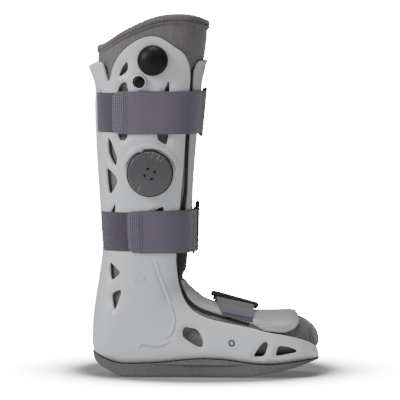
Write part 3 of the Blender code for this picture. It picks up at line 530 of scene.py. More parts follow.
@dataclass
class TrimmedSheet:
    """Sheet on a skin, trimmed to an outline with holes, which is given relief and thickness.

    Args:
        name: name of the piece.
        skin: skin that it lies on.
        outline: closed outline in the chart, in metres.
        holes: closed outlines of its holes.
        spacing: size of its cells.
        wall: thickness, measured inwards.
        from_front: whether girth is counted from the front line.
        lift: height of its outer face over the skin.
        fillet: radius of its outer edges.
        extra: chart places that its cells also pass through.
    """

    name: str
    skin: Skin
    outline: Array
    holes: list[Array] = field(default_factory=list)
    spacing: float = 2.4 * MM
    wall: float = SHELL_WALL
    from_front: bool = False
    lift: float = 0.0
    fillet: float = 1.2 * MM
    extra: Array | None = None

    def girth(self, flat: Array) -> Array:
        """Signed girth share from the back line of chart places."""
        share = flat[:, 0] / HALF_GIRTH
        if not self.from_front:
            return share
        return np.where(share < 0, -(1 + share), 1 - share)

    def cells(self) -> tuple[Array, list[Sequence[int]], Array, Array]:
        """Cut the outline into triangles.

        Returns:
            The chart places, the triangles, the distance to any edge and the distance to a hole.
        """
        loops = [self.outline, *self.holes]
        low, high = self.outline.min(axis=0), self.outline.max(axis=0)
        rows = np.arange(low[1], high[1], self.spacing * 0.87)
        grid = []
        for k, row in enumerate(rows):
            shift = self.spacing / 2 * (k % 2)
            xs = np.arange(low[0] + shift, high[0], self.spacing)
            grid.append(np.stack([xs, np.full(len(xs), row)], axis=1))
        bands = []
        for offset in (0.3, 0.8, 1.6):
            for loop in loops:
                ahead, behind = np.roll(loop, -1, axis=0), np.roll(loop, 1, axis=0)
                run = ahead - behind
                run /= np.maximum(np.linalg.norm(run, axis=1), 1e-12)[:, None]
                for sign in (1, -1):
                    bands.append(loop + sign * offset * self.fillet * run[:, ::-1] * np.array([1, -1]))
        inner = np.vstack(grid if self.extra is None else [*grid, self.extra])
        band = np.vstack(bands)
        keep = self.within(inner)
        inner = inner[keep]
        inner = inner[distance_to(inner, loops) > self.fillet * 1.6 + self.spacing * 0.35]
        band = band[self.within(band)]
        reach = distance_to(band, loops)
        band = band[reach > self.fillet * 0.28]
        points = np.vstack([*loops, band, inner])
        edges, at = [], 0
        for loop in loops:
            edges += [(at + i, at + (i + 1) % len(loop)) for i in range(len(loop))]
            at += len(loop)
        result = geometry.delaunay_2d_cdt([Vector(p) for p in points.tolist()], edges, [], 0, 1e-6, False)
        flat = np.array([tuple(v) for v in result[0]])
        faces = np.array([f for f in result[2] if len(f) == 3])
        centres = flat[faces].mean(axis=1)
        faces = faces[self.within(centres)]
        used = np.unique(faces)
        lookup = np.full(len(flat), -1)
        lookup[used] = np.arange(len(used))
        flat, faces = flat[used], lookup[faces]
        hole_reach = distance_to(flat, self.holes) if self.holes else np.full(len(flat), 1.0)
        return flat, faces, distance_to(flat, loops), hole_reach

    def within(self, points: Array) -> Array:
        """Tell which chart places lie on the sheet."""
        result = inside(points, self.outline)
        for hole in self.holes:
            result &= ~inside(points, hole)
        return result

    def build(self, relief: Relief | None = None) -> Thing:
        """Make the sheet's closed mesh.

        Args:
            relief: extra height for the points, their distance to an edge and to a hole.

        Returns:
            The object, shaded smooth with its edges kept.
        """
        flat, faces, reach, hole_reach = self.cells()
        girth = self.girth(flat)
        ground = self.skin.point(flat[:, 1], girth)
        drop = np.clip(self.fillet - reach, 0.0, self.fillet)
        lift = self.lift - (self.fillet - np.sqrt(self.fillet ** 2 - drop ** 2))
        if relief is not None:
            lift = lift + relief(ground, reach, hole_reach)
        top = self.skin.point(flat[:, 1], girth, lift)
        bottom = self.skin.point(flat[:, 1], girth,
                                 np.minimum(lift - self.wall * 0.5, self.lift - self.wall))
        count = len(flat)
        edge_use: dict[tuple[int, int], int] = {}
        for a, b, c in faces:
            for pair in ((a, b), (b, c), (c, a)):
                edge_use[pair] = edge_use.get(pair, 0) + 1
        rim = [(a, b) for (a, b) in edge_use if (b, a) not in edge_use]
        all_faces = [tuple(f) for f in faces]
        all_faces += [(c + count, b + count, a + count) for a, b, c in faces]
        all_faces += [(b, a, a + count, b + count) for a, b in rim]
        mesh = recalculated(mesh_from(self.name, np.vstack([top, bottom]), all_faces))
        edge = mesh.attributes.new("edge", "FLOAT", "POINT")
        near = 1 - smoothstep(0.2 * self.fillet, 1.3 * self.fillet, reach)
        edge.data.foreach_set("value", np.concatenate([near, np.zeros(count)]))
        made = new_object(self.name, mesh)
        shade(made, 48.0)
        return made


def ridge_line(points: Array, line: Outline, width: float, height: float) -> Array:
    """Crease along a side view line: one side stands up and the other dips.

    Args:
        points: places on the skin.
        line: the crease's course, in shares.
        width: how far it reaches.
        height: how far it stands up.

    Returns:
        The extra height of each place.
    """
    course = side_line(line, 2 * MM)
    flat = points[:, [0, 2]]
    best = np.full(len(flat), 1.0)
    signed = np.zeros(len(flat))
    fade = np.zeros(len(flat))
    total = len(course) - 1
    for k, (a, b) in enumerate(zip(course, course[1:])):
        along = b - a
        t = np.clip(((flat - a) @ along) / max(float(along @ along), 1e-18), 0.0, 1.0)
        off = flat - (a + t[:, None] * along)
        reach = np.hypot(off[:, 0], off[:, 1])
        nearer = reach < best
        best = np.where(nearer, reach, best)
        turn = np.sign(along[0] * off[:, 1] - along[1] * off[:, 0])
        signed = np.where(nearer, turn * reach, signed)
        place = (k + t) / total
        fade = np.where(nearer, np.minimum(1.0, 5 * np.minimum(place, 1 - place)), fade)
    return height * fade * 1.65 * (signed / width) * np.exp(-(signed / width) ** 2)


class Shell:
    """Light grey moulded shell with its vents, notch, slots and raised lines."""

    BEZEL_INNER = 30.0 * MM
    BEZEL_OUTER = 34.5 * MM
    BEZEL_HEIGHT = 3.0 * MM
    RECESS_DEPTH = 1.7 * MM
    VENT_GROWTH = 1.20
    CREASES: list[tuple[Outline, float, float]] = [
        ([(0.279, 0.335), (0.300, 0.290), (0.330, 0.240), (0.360, 0.187)], 1.7 * MM, 1.5 * MM),
        ([(0.350, 0.208), (0.373, 0.175), (0.377, 0.152), (0.364, 0.125), (0.350, 0.111),
          (0.296, 0.104)], 1.8 * MM, -1.4 * MM),
        ([(0.216, 0.072), (0.226, 0.089), (0.240, 0.091), (0.278, 0.085), (0.311, 0.086), (0.346, 0.096),
          (0.367, 0.102)], 1.6 * MM, 1.7 * MM),
    ]

    def __init__(self, slots: list[Array]) -> None:
        """Prepare the shell's skin and outline.

        Args:
            slots: closed chart outlines of the strap slots on the outer side.
        """
        self.skin = Skin(flare=1.0, keel=1.0)
        self.chart = Chart(self.skin)
        self.slots = slots

    def outline(self) -> Array:
        """Closed outline of the whole shell in the chart."""
        flat = self.chart.flat(side_line(SHELL_TOP + SHELL_FRONT + SOLE_LINE, 1.5 * MM, 1))
        flat[0, 0] = flat[-1, 0] = 0.0
        flat = flat[(flat[:, 0] < -1e-6) | (np.arange(len(flat)) % (len(flat) - 1) == 0)]
        loop = np.vstack([flat, mirrored(flat)[1:-1]])
        return resampled(loop, True, 1.5 * MM)

    def vents(self) -> list[Array]:
        """Closed outlines of the vents and slots on both sides."""
        made = []
        for outline in VENTS.values():
            corners = np.array([side(p) for p in outline])
            corners = corners.mean(axis=0) + (corners - corners.mean(axis=0)) * self.VENT_GROWTH
            curve = resampled(rounded(corners, True), True, 0.9 * MM)
            flat = resampled(self.chart.flat(curve), True, 1.2 * MM)
            made += [flat, mirrored(flat)]
        for slot in self.slots:
            made += [slot, mirrored(slot)]
        return made

    def relief(self, points: Array, reach: Array, hole_reach: Array) -> Array:
        """Height of the moulded relief."""
        height = -self.RECESS_DEPTH * (1 - smoothstep(1.8 * MM, 4.8 * MM, hole_reach))
        for line, width, rise in self.CREASES:
            height += ridge_line(points, line, width, rise)
        outer = points[:, 1] < 0
        x, z = side(DIAL_PLACE)
        radius = np.hypot(points[:, 0] - x, points[:, 2] - z)
        bearing = np.degrees(np.arctan2(points[:, 2] - z, points[:, 0] - x))
        ring = smoothstep(self.BEZEL_INNER - 1 * MM, self.BEZEL_INNER, radius)
        ring *= 1 - smoothstep(self.BEZEL_OUTER - 0.5 * MM, self.BEZEL_OUTER + 2.2 * MM, radius)
        ring *= smoothstep(-8, 24, bearing) * (1 - smoothstep(150, 178, bearing))
        height += np.where(outer, ring * self.BEZEL_HEIGHT, 0.0)
        x, z = side(EMBLEM_PLACE)
        radius = np.hypot(points[:, 0] - x, points[:, 2] - z)
        for ring_radius in (6.0 * MM, 3.4 * MM):
            height += np.where(outer, 0.9 * MM * np.exp(-((radius - ring_radius) / (0.55 * MM)) ** 2), 0.0)
        return height

    def build(self) -> Thing:
        """Make the shell."""
        sheet = TrimmedSheet("shell_moulding", self.skin, self.outline(), self.vents(),
                             extra=self.fine_places())
        return sheet.build(self.relief)

    def fine_places(self) -> Array:
        """Chart places close together, where the relief is fine."""
        places = []
        for place, radii in ((DIAL_PLACE, np.arange(28.5, 38.0, 0.8)),
                             (EMBLEM_PLACE, np.arange(0.6, 8.0, 0.55))):
            x, z = side(place)
            for radius in radii * MM:
                turns = np.linspace(0, 2 * pi, max(int(2 * pi * radius / (1.3 * MM)), 6), endpoint=False)
                places.append(np.stack([x + radius * np.cos(turns), z + radius * np.sin(turns)], axis=1))
        emblem = self.chart.flat(np.vstack(places))
        strips = []
        for line, width, _ in self.CREASES:
            course = side_line(line, 1.4 * MM)
            run = unit(np.gradient(course, axis=0))
            for offset in (-2.0, -1.2, -0.6, 0.0, 0.6, 1.2, 2.0):
                strips.append(course + run[:, ::-1] * np.array([1, -1]) * offset * width)
        creases = self.chart.flat(np.vstack(strips))
        return np.vstack([emblem, creases, mirrored(creases)])


class Materials(Enum):
    """Finishes of the boot, by material slot."""

    SHELL = "shell_plastic"
    PANEL = "panel_plastic"
    SOLE = "sole_rubber"
    PAD = "pad_fabric"
    LINER = "liner_fabric"
    BINDING = "binding_fabric"
    WEBBING = "webbing"
    HOOKS = "hook_tab"
    BLACK = "black_plastic"
    BULB = "bulb_rubber"
    DIAL = "dial_plastic"


class Graph:
    """Builds the node tree of one material."""

    def __init__(self, name: str) -> None:
        """Start a material with its shader.

        Args:
            name: name of the material.
        """
        self.material = bpy.data.materials.new(name)
        self.material.use_nodes = True
        self.tree = self.material.node_tree
        self.shader = self.tree.nodes["Principled BSDF"]
        self.coordinates = self.tree.nodes.new("ShaderNodeTexCoord").outputs["Object"]

    def node(self, kind: str, inputs: dict[str | int, object] | None = None,
             **settings: object) -> bpy.types.Node:
        """Add a node; an input that is a socket is linked and any other value is set."""
        made = self.tree.nodes.new("ShaderNode" + kind)
        for key, value in settings.items():
            setattr(made, key, value)
        for key, value in (inputs or {}).items():
            if isinstance(value, Socket):
                self.tree.links.new(value, made.inputs[key])
            else:
                made.inputs[key].default_value = value
        return made

    def noise(self, scale: float, detail: float = 3.0, vector: Socket | None = None) -> Socket:
        """Noise in Object coordinates, or along a vector."""
        made = self.node("TexNoise", {"Vector": vector or self.coordinates, "Scale": scale,
                                      "Detail": detail})
        return made.outputs["Fac"]

    def ramp(self, value: Socket, *stops: tuple[float, Sequence[float]]) -> Socket:
        """Colour ramp with any number of stops."""
        made = self.node("ValToRGB", {"Fac": value})
        elements = made.color_ramp.elements
        while len(elements) < len(stops):
            elements.new(0.5)
        for element, (place, colour) in zip(elements, stops):
            element.position = place
            element.color = (*colour, 1.0)
        return made.outputs["Color"]

    def math(self, operation: str, first: object, second: object = 0.0) -> Socket:
        """One sum of two values."""
        return self.node("Math", {0: first, 1: second}, operation=operation).outputs[0]

    def mix(self, share: object, first: object, second: object, blend: str = "MIX") -> Socket:
        """Mix of two colours."""
        made = self.node("Mix", data_type="RGBA", blend_type=blend)
        for index, value in ((0, share), (6, first), (7, second)):
            if isinstance(value, Socket):
                self.tree.links.new(value, made.inputs[index])
            else:
                made.inputs[index].default_value = value if index == 0 else (*value, 1.0)
        return made.outputs[2]

    def bump(self, height: Socket, distance: float, strength: float = 1.0,
             normal: Socket | None = None) -> Socket:
        """Bump of a height, over another bump if one is given."""
        inputs: dict[str | int, object] = {"Height": height, "Distance": distance, "Strength": strength}
        if normal is not None:
            inputs["Normal"] = normal
        return self.node("Bump", inputs).outputs["Normal"]

    def finish(self, colour: Socket, roughness: object, normal: Socket | None,
               **plain: float) -> bpy.types.Material:
        """Link the shader's inputs.

        Args:
            colour: base colour.
            roughness: roughness, as a value or a socket.
            normal: bump, where there is one.
            plain: other inputs by name, with underscores for spaces.

        Returns:
            The finished material.
        """
        self.tree.links.new(colour, self.shader.inputs["Base Color"])
        if isinstance(roughness, Socket):
            self.tree.links.new(roughness, self.shader.inputs["Roughness"])
        else:
            self.shader.inputs["Roughness"].default_value = roughness
        if normal is not None:
            self.tree.links.new(normal, self.shader.inputs["Normal"])
        for key, value in plain.items():
            self.shader.inputs[key.replace("_", " ")].default_value = value
        return self.material


def scaled(colour: Colour, factor: float) -> Colour:
    """A colour made lighter or darker."""
    return tuple(min(c * factor, 1.0) for c in colour)


@dataclass(frozen=True)
class MouldedPlastic:
    """Satin moulded plastic with a fine grain and edges lighter in patches.

    Args:
        slot: material slot.
        colour: base colour, linear.
        roughness: middle of its roughness.
        grain: depth of the grain in metres.
        edges: how much lighter it is in patches along its edges.
    """

    slot: Materials
    colour: Colour
    roughness: float
    grain: float = 0.00003
    edges: float = 0.0

    def material(self) -> bpy.types.Material:
        """Build the material."""
        graph = Graph(self.slot.value)
        cloud = graph.noise(9.0, 4.0)
        colour = graph.ramp(cloud, (0.25, scaled(self.colour, 0.955)), (0.75, scaled(self.colour, 1.035)))
        speck = graph.ramp(graph.noise(900.0, 2.0), (0.35, (0.97, 0.97, 0.97)), (0.65, (1.0, 1.0, 1.0)))
        colour = graph.mix(1.0, colour, speck, "MULTIPLY")
        # Near the edges of a sheet the colour is lighter in noise patches.
        if self.edges:
            edge = graph.node("Attribute", attribute_name="edge").outputs["Fac"]
            lighter_edge_patches = graph.math("MULTIPLY", edge,
                              graph.ramp(graph.noise(60.0, 4.0), (0.35, (0, 0, 0)), (0.7, (1, 1, 1))))
            colour = graph.mix(graph.math("MULTIPLY", lighter_edge_patches, self.edges), colour, scaled(self.colour, 1.35))
        smear = graph.node("Mapping", {"Vector": graph.coordinates,
                                       "Scale": (1.0, 1.0, 0.25)}).outputs["Vector"]
        rough = graph.node("MapRange", {"Value": graph.noise(55.0, 5.0, smear), "From Min": 0.3,
                                        "From Max": 0.7,
                                        "To Min": self.roughness - 0.05, "To Max": self.roughness + 0.07})
        fine = graph.bump(graph.noise(2600.0, 1.0), self.grain)
        return graph.finish(colour, rough.outputs[0],
                            graph.bump(graph.noise(70.0, 2.0), 0.00012, normal=fine))


@dataclass(frozen=True)
class Rubber:
    """Matt rubber with fine specks and scuffs.

    Args:
        slot: material slot.
        colour: base colour, linear.
        roughness: middle of its roughness.
        scuff: how much its scuffs lighten it.
    """

    slot: Materials
    colour: Colour
    roughness: float
    scuff: float = 0.2

    def material(self) -> bpy.types.Material:
        """Build the material."""
        graph = Graph(self.slot.value)
        scuffs = graph.ramp(graph.noise(26.0, 8.0), (0.45, (0, 0, 0)), (0.78, (1, 1, 1)))
        base = graph.ramp(graph.noise(420.0, 3.0), (0.3, scaled(self.colour, 0.86)),
                          (0.7, scaled(self.colour, 1.1)))
        colour = graph.mix(graph.math("MULTIPLY", scuffs, self.scuff), base, scaled(self.colour, 1.7))
        rough = graph.node("MapRange", {"Value": scuffs, "To Min": self.roughness - 0.06,
                                        "To Max": self.roughness + 0.1})
        fine = graph.bump(graph.noise(1400.0, 3.0), 0.00006)
        return graph.finish(colour, rough.outputs[0],
                            graph.bump(graph.noise(180.0, 4.0), 0.00015, normal=fine),
                            Specular_IOR_Level=0.25)


@dataclass(frozen=True)
class BrushedKnit:
    """Brushed loop fabric of the liner and the pad.

    Args:
        slot: material slot.
        colour: base colour, linear.
        sheen: weight of its sheen.
    """

    slot: Materials
    colour: Colour
    sheen: float = 0.35

    def material(self) -> bpy.types.Material:
        """Build the material."""
        graph = Graph(self.slot.value)
        drawn = graph.node("Mapping", {"Vector": graph.coordinates,
                                       "Scale": (1.0, 1.0, 0.3)}).outputs["Vector"]
        nap = graph.noise(520.0, 6.0, drawn)
        loops = graph.node("TexVoronoi",
                           {"Vector": graph.coordinates, "Scale": 900.0, "Randomness": 0.8}).outputs[0]
        base = graph.ramp(nap, (0.3, scaled(self.colour, 0.84)), (0.5, self.colour),
                          (0.72, scaled(self.colour, 1.15)))
        patch = graph.ramp(graph.noise(14.0, 3.0), (0.3, (0.86, 0.85, 0.84)), (0.7, (1.0, 1.0, 1.0)))
        colour = graph.mix(1.0, base, patch, "MULTIPLY")
        height = graph.math("ADD", nap, graph.math("MULTIPLY", loops, -0.6))
        normal = graph.bump(height, 0.00035, normal=graph.bump(graph.noise(60.0, 3.0), 0.0008, 0.6))
        return graph.finish(colour, 0.93, normal, Sheen_Weight=self.sheen, Sheen_Roughness=0.45)


class Weave(Enum):
    """How a tape is woven."""

    RIBBED = "ribbed"
    LOOPED = "looped"
    GRIDDED = "gridded"


@dataclass(frozen=True)
class Tape:
    """Woven tape that follows the piece's own map, which is in metres along and across.

    Args:
        name: name of the material.
        weave: kind of weave.
        colour: base colour, linear.
        front: colour painted near the front end of the tape, round the fold, as painted shade.
        rib: spacing of its ribs.
    """

    name: str
    weave: Weave
    colour: Colour
    front: Colour
    rib: float = 0.0011

    def material(self) -> bpy.types.Material:
        """Build the material."""
        graph = Graph(self.name)
        place = graph.node("UVMap", uv_map="tape").outputs["UV"]
        split = graph.node("SeparateXYZ", {0: place})
        along, across = split.outputs[0], split.outputs[1]
        turn = 2 * pi / self.rib
        wave_a = graph.math("SINE", graph.math("MULTIPLY", along, turn))
        wave_b = graph.math("SINE", graph.math("MULTIPLY", across, turn * 0.9))
        fuzz = graph.noise(1500.0, 4.0, place)
        patch = graph.noise(38.0, 4.0, place)
        height = {
            Weave.RIBBED: graph.math("ADD", wave_a, graph.math("MULTIPLY", wave_b, 0.7)),
            Weave.LOOPED: graph.math("ADD", graph.math("MULTIPLY", wave_a, 0.22),
                                     graph.math("MULTIPLY", fuzz, 2.0)),
            Weave.GRIDDED: graph.math("MULTIPLY", graph.math("MULTIPLY", wave_a, wave_b), 1.6),
        }[self.weave]
        shade_of = graph.node("MapRange", {"Value": height, "From Min": -1.7, "From Max": 1.7,
                                           "To Min": 0.62, "To Max": 1.26})
        # Painted shade: within 20 mm of the fold the tape takes its front colour, which blends into its own
        # colour by 34 mm.
        reach = graph.math("ABSOLUTE", along)
        far = graph.node("MapRange", {"Value": reach, "From Min": 0.020, "From Max": 0.034})
        base = graph.mix(far.outputs[0], self.front, self.colour)
        base = graph.mix(graph.math("MULTIPLY", patch, 0.5), base, scaled(self.colour, 1.18))
        grey = graph.node("CombineColor",
                          {0: shade_of.outputs[0], 1: shade_of.outputs[0], 2: shade_of.outputs[0]})
        colour = graph.mix(1.0, base, grey.outputs[0], "MULTIPLY")
        edge = graph.math("ABSOLUTE", across)
        selvedge = graph.node("MapRange", {"Value": edge, "From Min": 0.0232, "From Max": 0.0246,
                                           "To Max": 0.35})
        colour = graph.mix(selvedge.outputs[0], colour, scaled(self.colour, 0.7))
        normal = graph.bump(graph.math("ADD", height, fuzz), 0.00016)
        return graph.finish(colour, 0.86, normal, Sheen_Weight=0.3, Sheen_Roughness=0.4)


class Finishes:
    """Makes each finish once, and gives it to pieces."""

    PURPLE: Colour = (0.087, 0.077, 0.104)
    PURPLE_DARK: Colour = (0.055, 0.046, 0.068)
    # Brownish colour painted round the folds of the webbing as painted shade.
    PAINTED_SHADE_BROWN: Colour = (0.088, 0.076, 0.076)

    def __init__(self) -> None:
        """Build all finishes."""
        kinds = [
            MouldedPlastic(Materials.SHELL, (0.520, 0.534, 0.556), 0.36, edges=0.5),
            MouldedPlastic(Materials.PANEL, (0.385, 0.385, 0.380), 0.42, edges=0.4),
            Rubber(Materials.SOLE, (0.096, 0.095, 0.092), 0.72),
            BrushedKnit(Materials.PAD, (0.016, 0.015, 0.015), 0.15),
            BrushedKnit(Materials.LINER, (0.130, 0.120, 0.122)),
            BrushedKnit(Materials.BINDING, (0.111, 0.103, 0.106), 0.2),
            MouldedPlastic(Materials.BLACK, (0.005, 0.005, 0.006), 0.38),
            Rubber(Materials.BULB, (0.001, 0.001, 0.001), 0.50, scuff=0.02),
            MouldedPlastic(Materials.DIAL, (0.060, 0.061, 0.065), 0.36),
        ]
        self.made: dict[Materials, bpy.types.Material] = {kind.slot: kind.material() for kind in kinds}
        self.made[Materials.WEBBING] = Tape("webbing_loop", Weave.LOOPED, self.PURPLE, self.PAINTED_SHADE_BROWN).material()
        self.made[Materials.HOOKS] = Tape("hook_tab", Weave.GRIDDED, scaled(self.PURPLE, 1.5),
                                          scaled(self.PURPLE, 1.5),
                                          0.0016).material()
        # Darker copy of the panel plastic for the foot plate: painted shade, where the top light falls
        # strongly on it.
        self.instep = MouldedPlastic(Materials.PANEL, (0.290, 0.291, 0.290), 0.42, edges=0.4).material()
        self.under = Tape("webbing_ribbed", Weave.RIBBED, self.PURPLE_DARK, self.PAINTED_SHADE_BROWN, 0.0016).material()
        self.teeth = MouldedPlastic(Materials.HOOKS, scaled(self.PURPLE, 2.4), 0.5).material()
        self.thread = BrushedKnit(Materials.BINDING, (0.075, 0.068, 0.068)).material()

    def dress(self, piece: Thing, slot: Materials, body: str, *nodes: str) -> Thing:
        """Give a piece its finish, its body and the nodes that it replaces."""
        if not piece.data.materials:
            piece.data.materials.append(self.made[slot])
        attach(piece, body)
        if nodes:
            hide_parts(*nodes)
        log.info("%s: %d faces on %s", piece.name, len(piece.data.polygons), body)
        return piece


def unit(vectors: Array) -> Array:
    """Vectors of length one."""
    return vectors / np.maximum(np.linalg.norm(vectors, axis=-1, keepdims=True), 1e-12)


def ribbon(name: str, middle: Array, across: Array, thickness: float,
           origin: int = 0) -> Thing:
    """Closed ribbon with rounded edges about a middle surface.

    Args:
        name: name of the piece.
        middle: points, in columns along the ribbon and rows across it.
        across: distance of each row from the ribbon's middle line.
        thickness: thickness of the webbing.
        origin: column at which the map's first coordinate is zero.

    Returns:
        The piece, with a map in metres along and across.
    """
    normal = unit(np.cross(np.gradient(middle, axis=0), np.gradient(middle, axis=1)))
    edge = np.abs(across).max()
    rim = np.clip((np.abs(across) - (edge - thickness / 2)) / (thickness / 2), 0.0, 0.96)
    half = (thickness / 2 * np.sqrt(1 - rim ** 2))[None, :, None]
    ring = np.concatenate([middle + normal * half, (middle - normal * half)[:, ::-1]], axis=1)
    columns, size = ring.shape[:2]
    steps = np.linalg.norm(np.diff(middle.mean(axis=1), axis=0), axis=1)
    along = np.concatenate([[0.0], np.cumsum(steps)])
    along -= along[origin]
    faces, places = [], []
    wide = np.concatenate([across, across[::-1]])
    for i in range(columns - 1):
        for j in range(size):
            k = (j + 1) % size
            faces.append((i * size + j, (i + 1) * size + j, (i + 1) * size + k, i * size + k))
            places += [(along[i], wide[j]), (along[i + 1], wide[j]), (along[i + 1], wide[k]),
                       (along[i], wide[k])]
    count = size // 2
    for column, at in ((0, along[0]), (columns - 1, along[-1])):
        for j in range(count - 1):
            start = column * size
            faces.append((start + j, start + j + 1, start + size - 2 - j, start + size - 1 - j))
            places += [(at, wide[j]), (at, wide[j + 1]), (at, wide[j + 1]), (at, wide[j])]
    mesh = mesh_from(name, ring.reshape(-1, 3), faces)
    layer = mesh.uv_layers.new(name="tape")
    layer.data.foreach_set("uv", np.array(places).ravel())
    made = new_object(name, recalculated(mesh))
    shade(made, 50.0)
    return made


@dataclass
class Tube:
    """Round closed ring of moulded plastic through corners, with rounded bends.

    Args:
        name: name of the piece.
        corners: its corners in order.
        radius: radius of the bar.
        bend: radius of its bends.
    """

    name: str
    corners: list[Vector]
    radius: float
    bend: float = 3.2 * MM

    def build(self) -> Thing:
        """Make the ring's mesh."""
        curve = bpy.data.curves.new(self.name, "CURVE")
        curve.dimensions = "3D"
        curve.bevel_depth = self.radius
        curve.bevel_resolution = 5
        points = []
        count = len(self.corners)
        for i, corner in enumerate(self.corners):
            before, after = self.corners[i - 1], self.corners[(i + 1) % count]
            first = corner + (before - corner).normalized() * self.bend
            last = corner + (after - corner).normalized() * self.bend
            for k in range(7):
                t = k / 6
                points.append(first * (1 - t) ** 2 + corner * 2 * t * (1 - t) + last * t * t)
        spline = curve.splines.new("POLY")
        spline.points.add(len(points) - 1)
        for point, place in zip(spline.points, points):
            point.co = (*place, 1.0)
        spline.use_cyclic_u = True
        drawn = new_object(self.name, curve)
        bpy.context.view_layer.update()
        mesh = bpy.data.meshes.new_from_object(drawn.evaluated_get(bpy.context.evaluated_depsgraph_get()))
        bpy.data.objects.remove(drawn, do_unlink=True)
        made = new_object(self.name, recalculated(mesh))
        shade(made)
        return made


@dataclass
class Bar:
    """Round bar along a line, with domed ends.

    Args:
        name: name of the piece.
        line: points of its middle line.
        radius: its radius.
        sides: number of its sides.
    """

    name: str
    line: Array
    radius: float
    sides: int = 20

    def build(self) -> Thing:
        """Make the bar's mesh."""
        run = unit(np.gradient(self.line, axis=0))
        first = unit(np.cross(run, (0.0, 1.0, 0.0)))
        second = np.cross(run, first)
        turns = np.linspace(0, 2 * pi, self.sides, endpoint=False)
        around = (first[:, None] * np.cos(turns)[None, :, None]
                  + second[:, None] * np.sin(turns)[None, :, None])
        rings = [self.line[0] - run[0] * self.radius * sin(a) + around[0] * self.radius * cos(a)
                 for a in (1.3, 0.9, 0.45)]
        rings += list(self.line[:, None] + around * self.radius)
        rings += [self.line[-1] + run[-1] * self.radius * sin(a) + around[-1] * self.radius * cos(a)
                  for a in (0.45, 0.9, 1.3)]
        size, count = self.sides, len(rings)
        faces = ring_faces(count, size)
        faces += [tuple(range(size)), tuple(range((count - 1) * size, count * size))]
        made = new_object(self.name, recalculated(mesh_from(self.name, np.vstack(rings), faces)))
        shade(made, 50.0)
        return made


ACROSS = np.concatenate([[-25.0, -24.92, -24.7, -24.2], np.linspace(-22.5, 22.5, 16),
                         [24.2, 24.7, 24.92, 25.0]]) * MM
UNDER_LIFT = GAP + STRAP_THICKNESS / 2
FOLD_RADIUS = RING_WIRE / 2 + GAP + STRAP_THICKNESS / 2
OVER_LIFT = UNDER_LIFT + STRAP_THICKNESS + GAP
TOP_LIFT = UNDER_LIFT + 2 * FOLD_RADIUS


def strap_path(start: float, bar: float, end: float, lies_down: float) -> list[tuple[float, float]]:
    """Side profile of a folded strap: distance round from the front, and lift.

    Args:
        start: where it comes out of its slot.
        bar: where its ring's bar lies.
        end: where its folded end stops.
        lies_down: distance over which the folded end comes down.

    Returns:
        The points of the profile, from the slot to the end.
    """
    path = [(start, -5.0 * MM), (start, -2.4 * MM), (start - 0.5 * MM, 0.2 * MM),
            (start - 2.0 * MM, UNDER_LIFT)]
    count = int((start - bar) / (1.6 * MM))
    path += [(s, UNDER_LIFT) for s in np.linspace(start - 3.6 * MM, bar, count)]
    for turn in np.linspace(0.0, pi, 15)[1:]:
        path.append((bar - FOLD_RADIUS * sin(turn), UNDER_LIFT + FOLD_RADIUS * (1 - cos(turn))))
    count = max(int((end - bar) / (1.4 * MM)), 4)
    for s in np.linspace(bar, end, count)[1:]:
        t = min((s - bar) / lies_down, 1.0)
        path.append((s, TOP_LIFT + (OVER_LIFT - TOP_LIFT) * t * t * (3 - 2 * t)))
    return path


def ring_through(name: str, bars: list[list[Vector]]) -> Thing:
    """Ring through the folds of the webbing on both sides, which are given by their ends."""
    corners = []
    for low, high in (bars[0], bars[1][::-1]):
        past = (high - low).normalized() * (2 * GAP + RING_WIRE / 2)
        corners += [low - past, high + past]
    return Tube(name, corners, RING_WIRE / 2).build()


def two_tone(piece: Thing, finishes: Finishes) -> None:
    """Give a strap ribbed webbing before its fold, and looped facing after it."""
    piece.data.materials.append(finishes.made[Materials.WEBBING])
    piece.data.materials.append(finishes.under)
    uv = piece.data.uv_layers["tape"].data
    for face in piece.data.polygons:
        if max(uv[i].uv[0] for i in face.loop_indices) < 0.0:
            face.material_index = 1


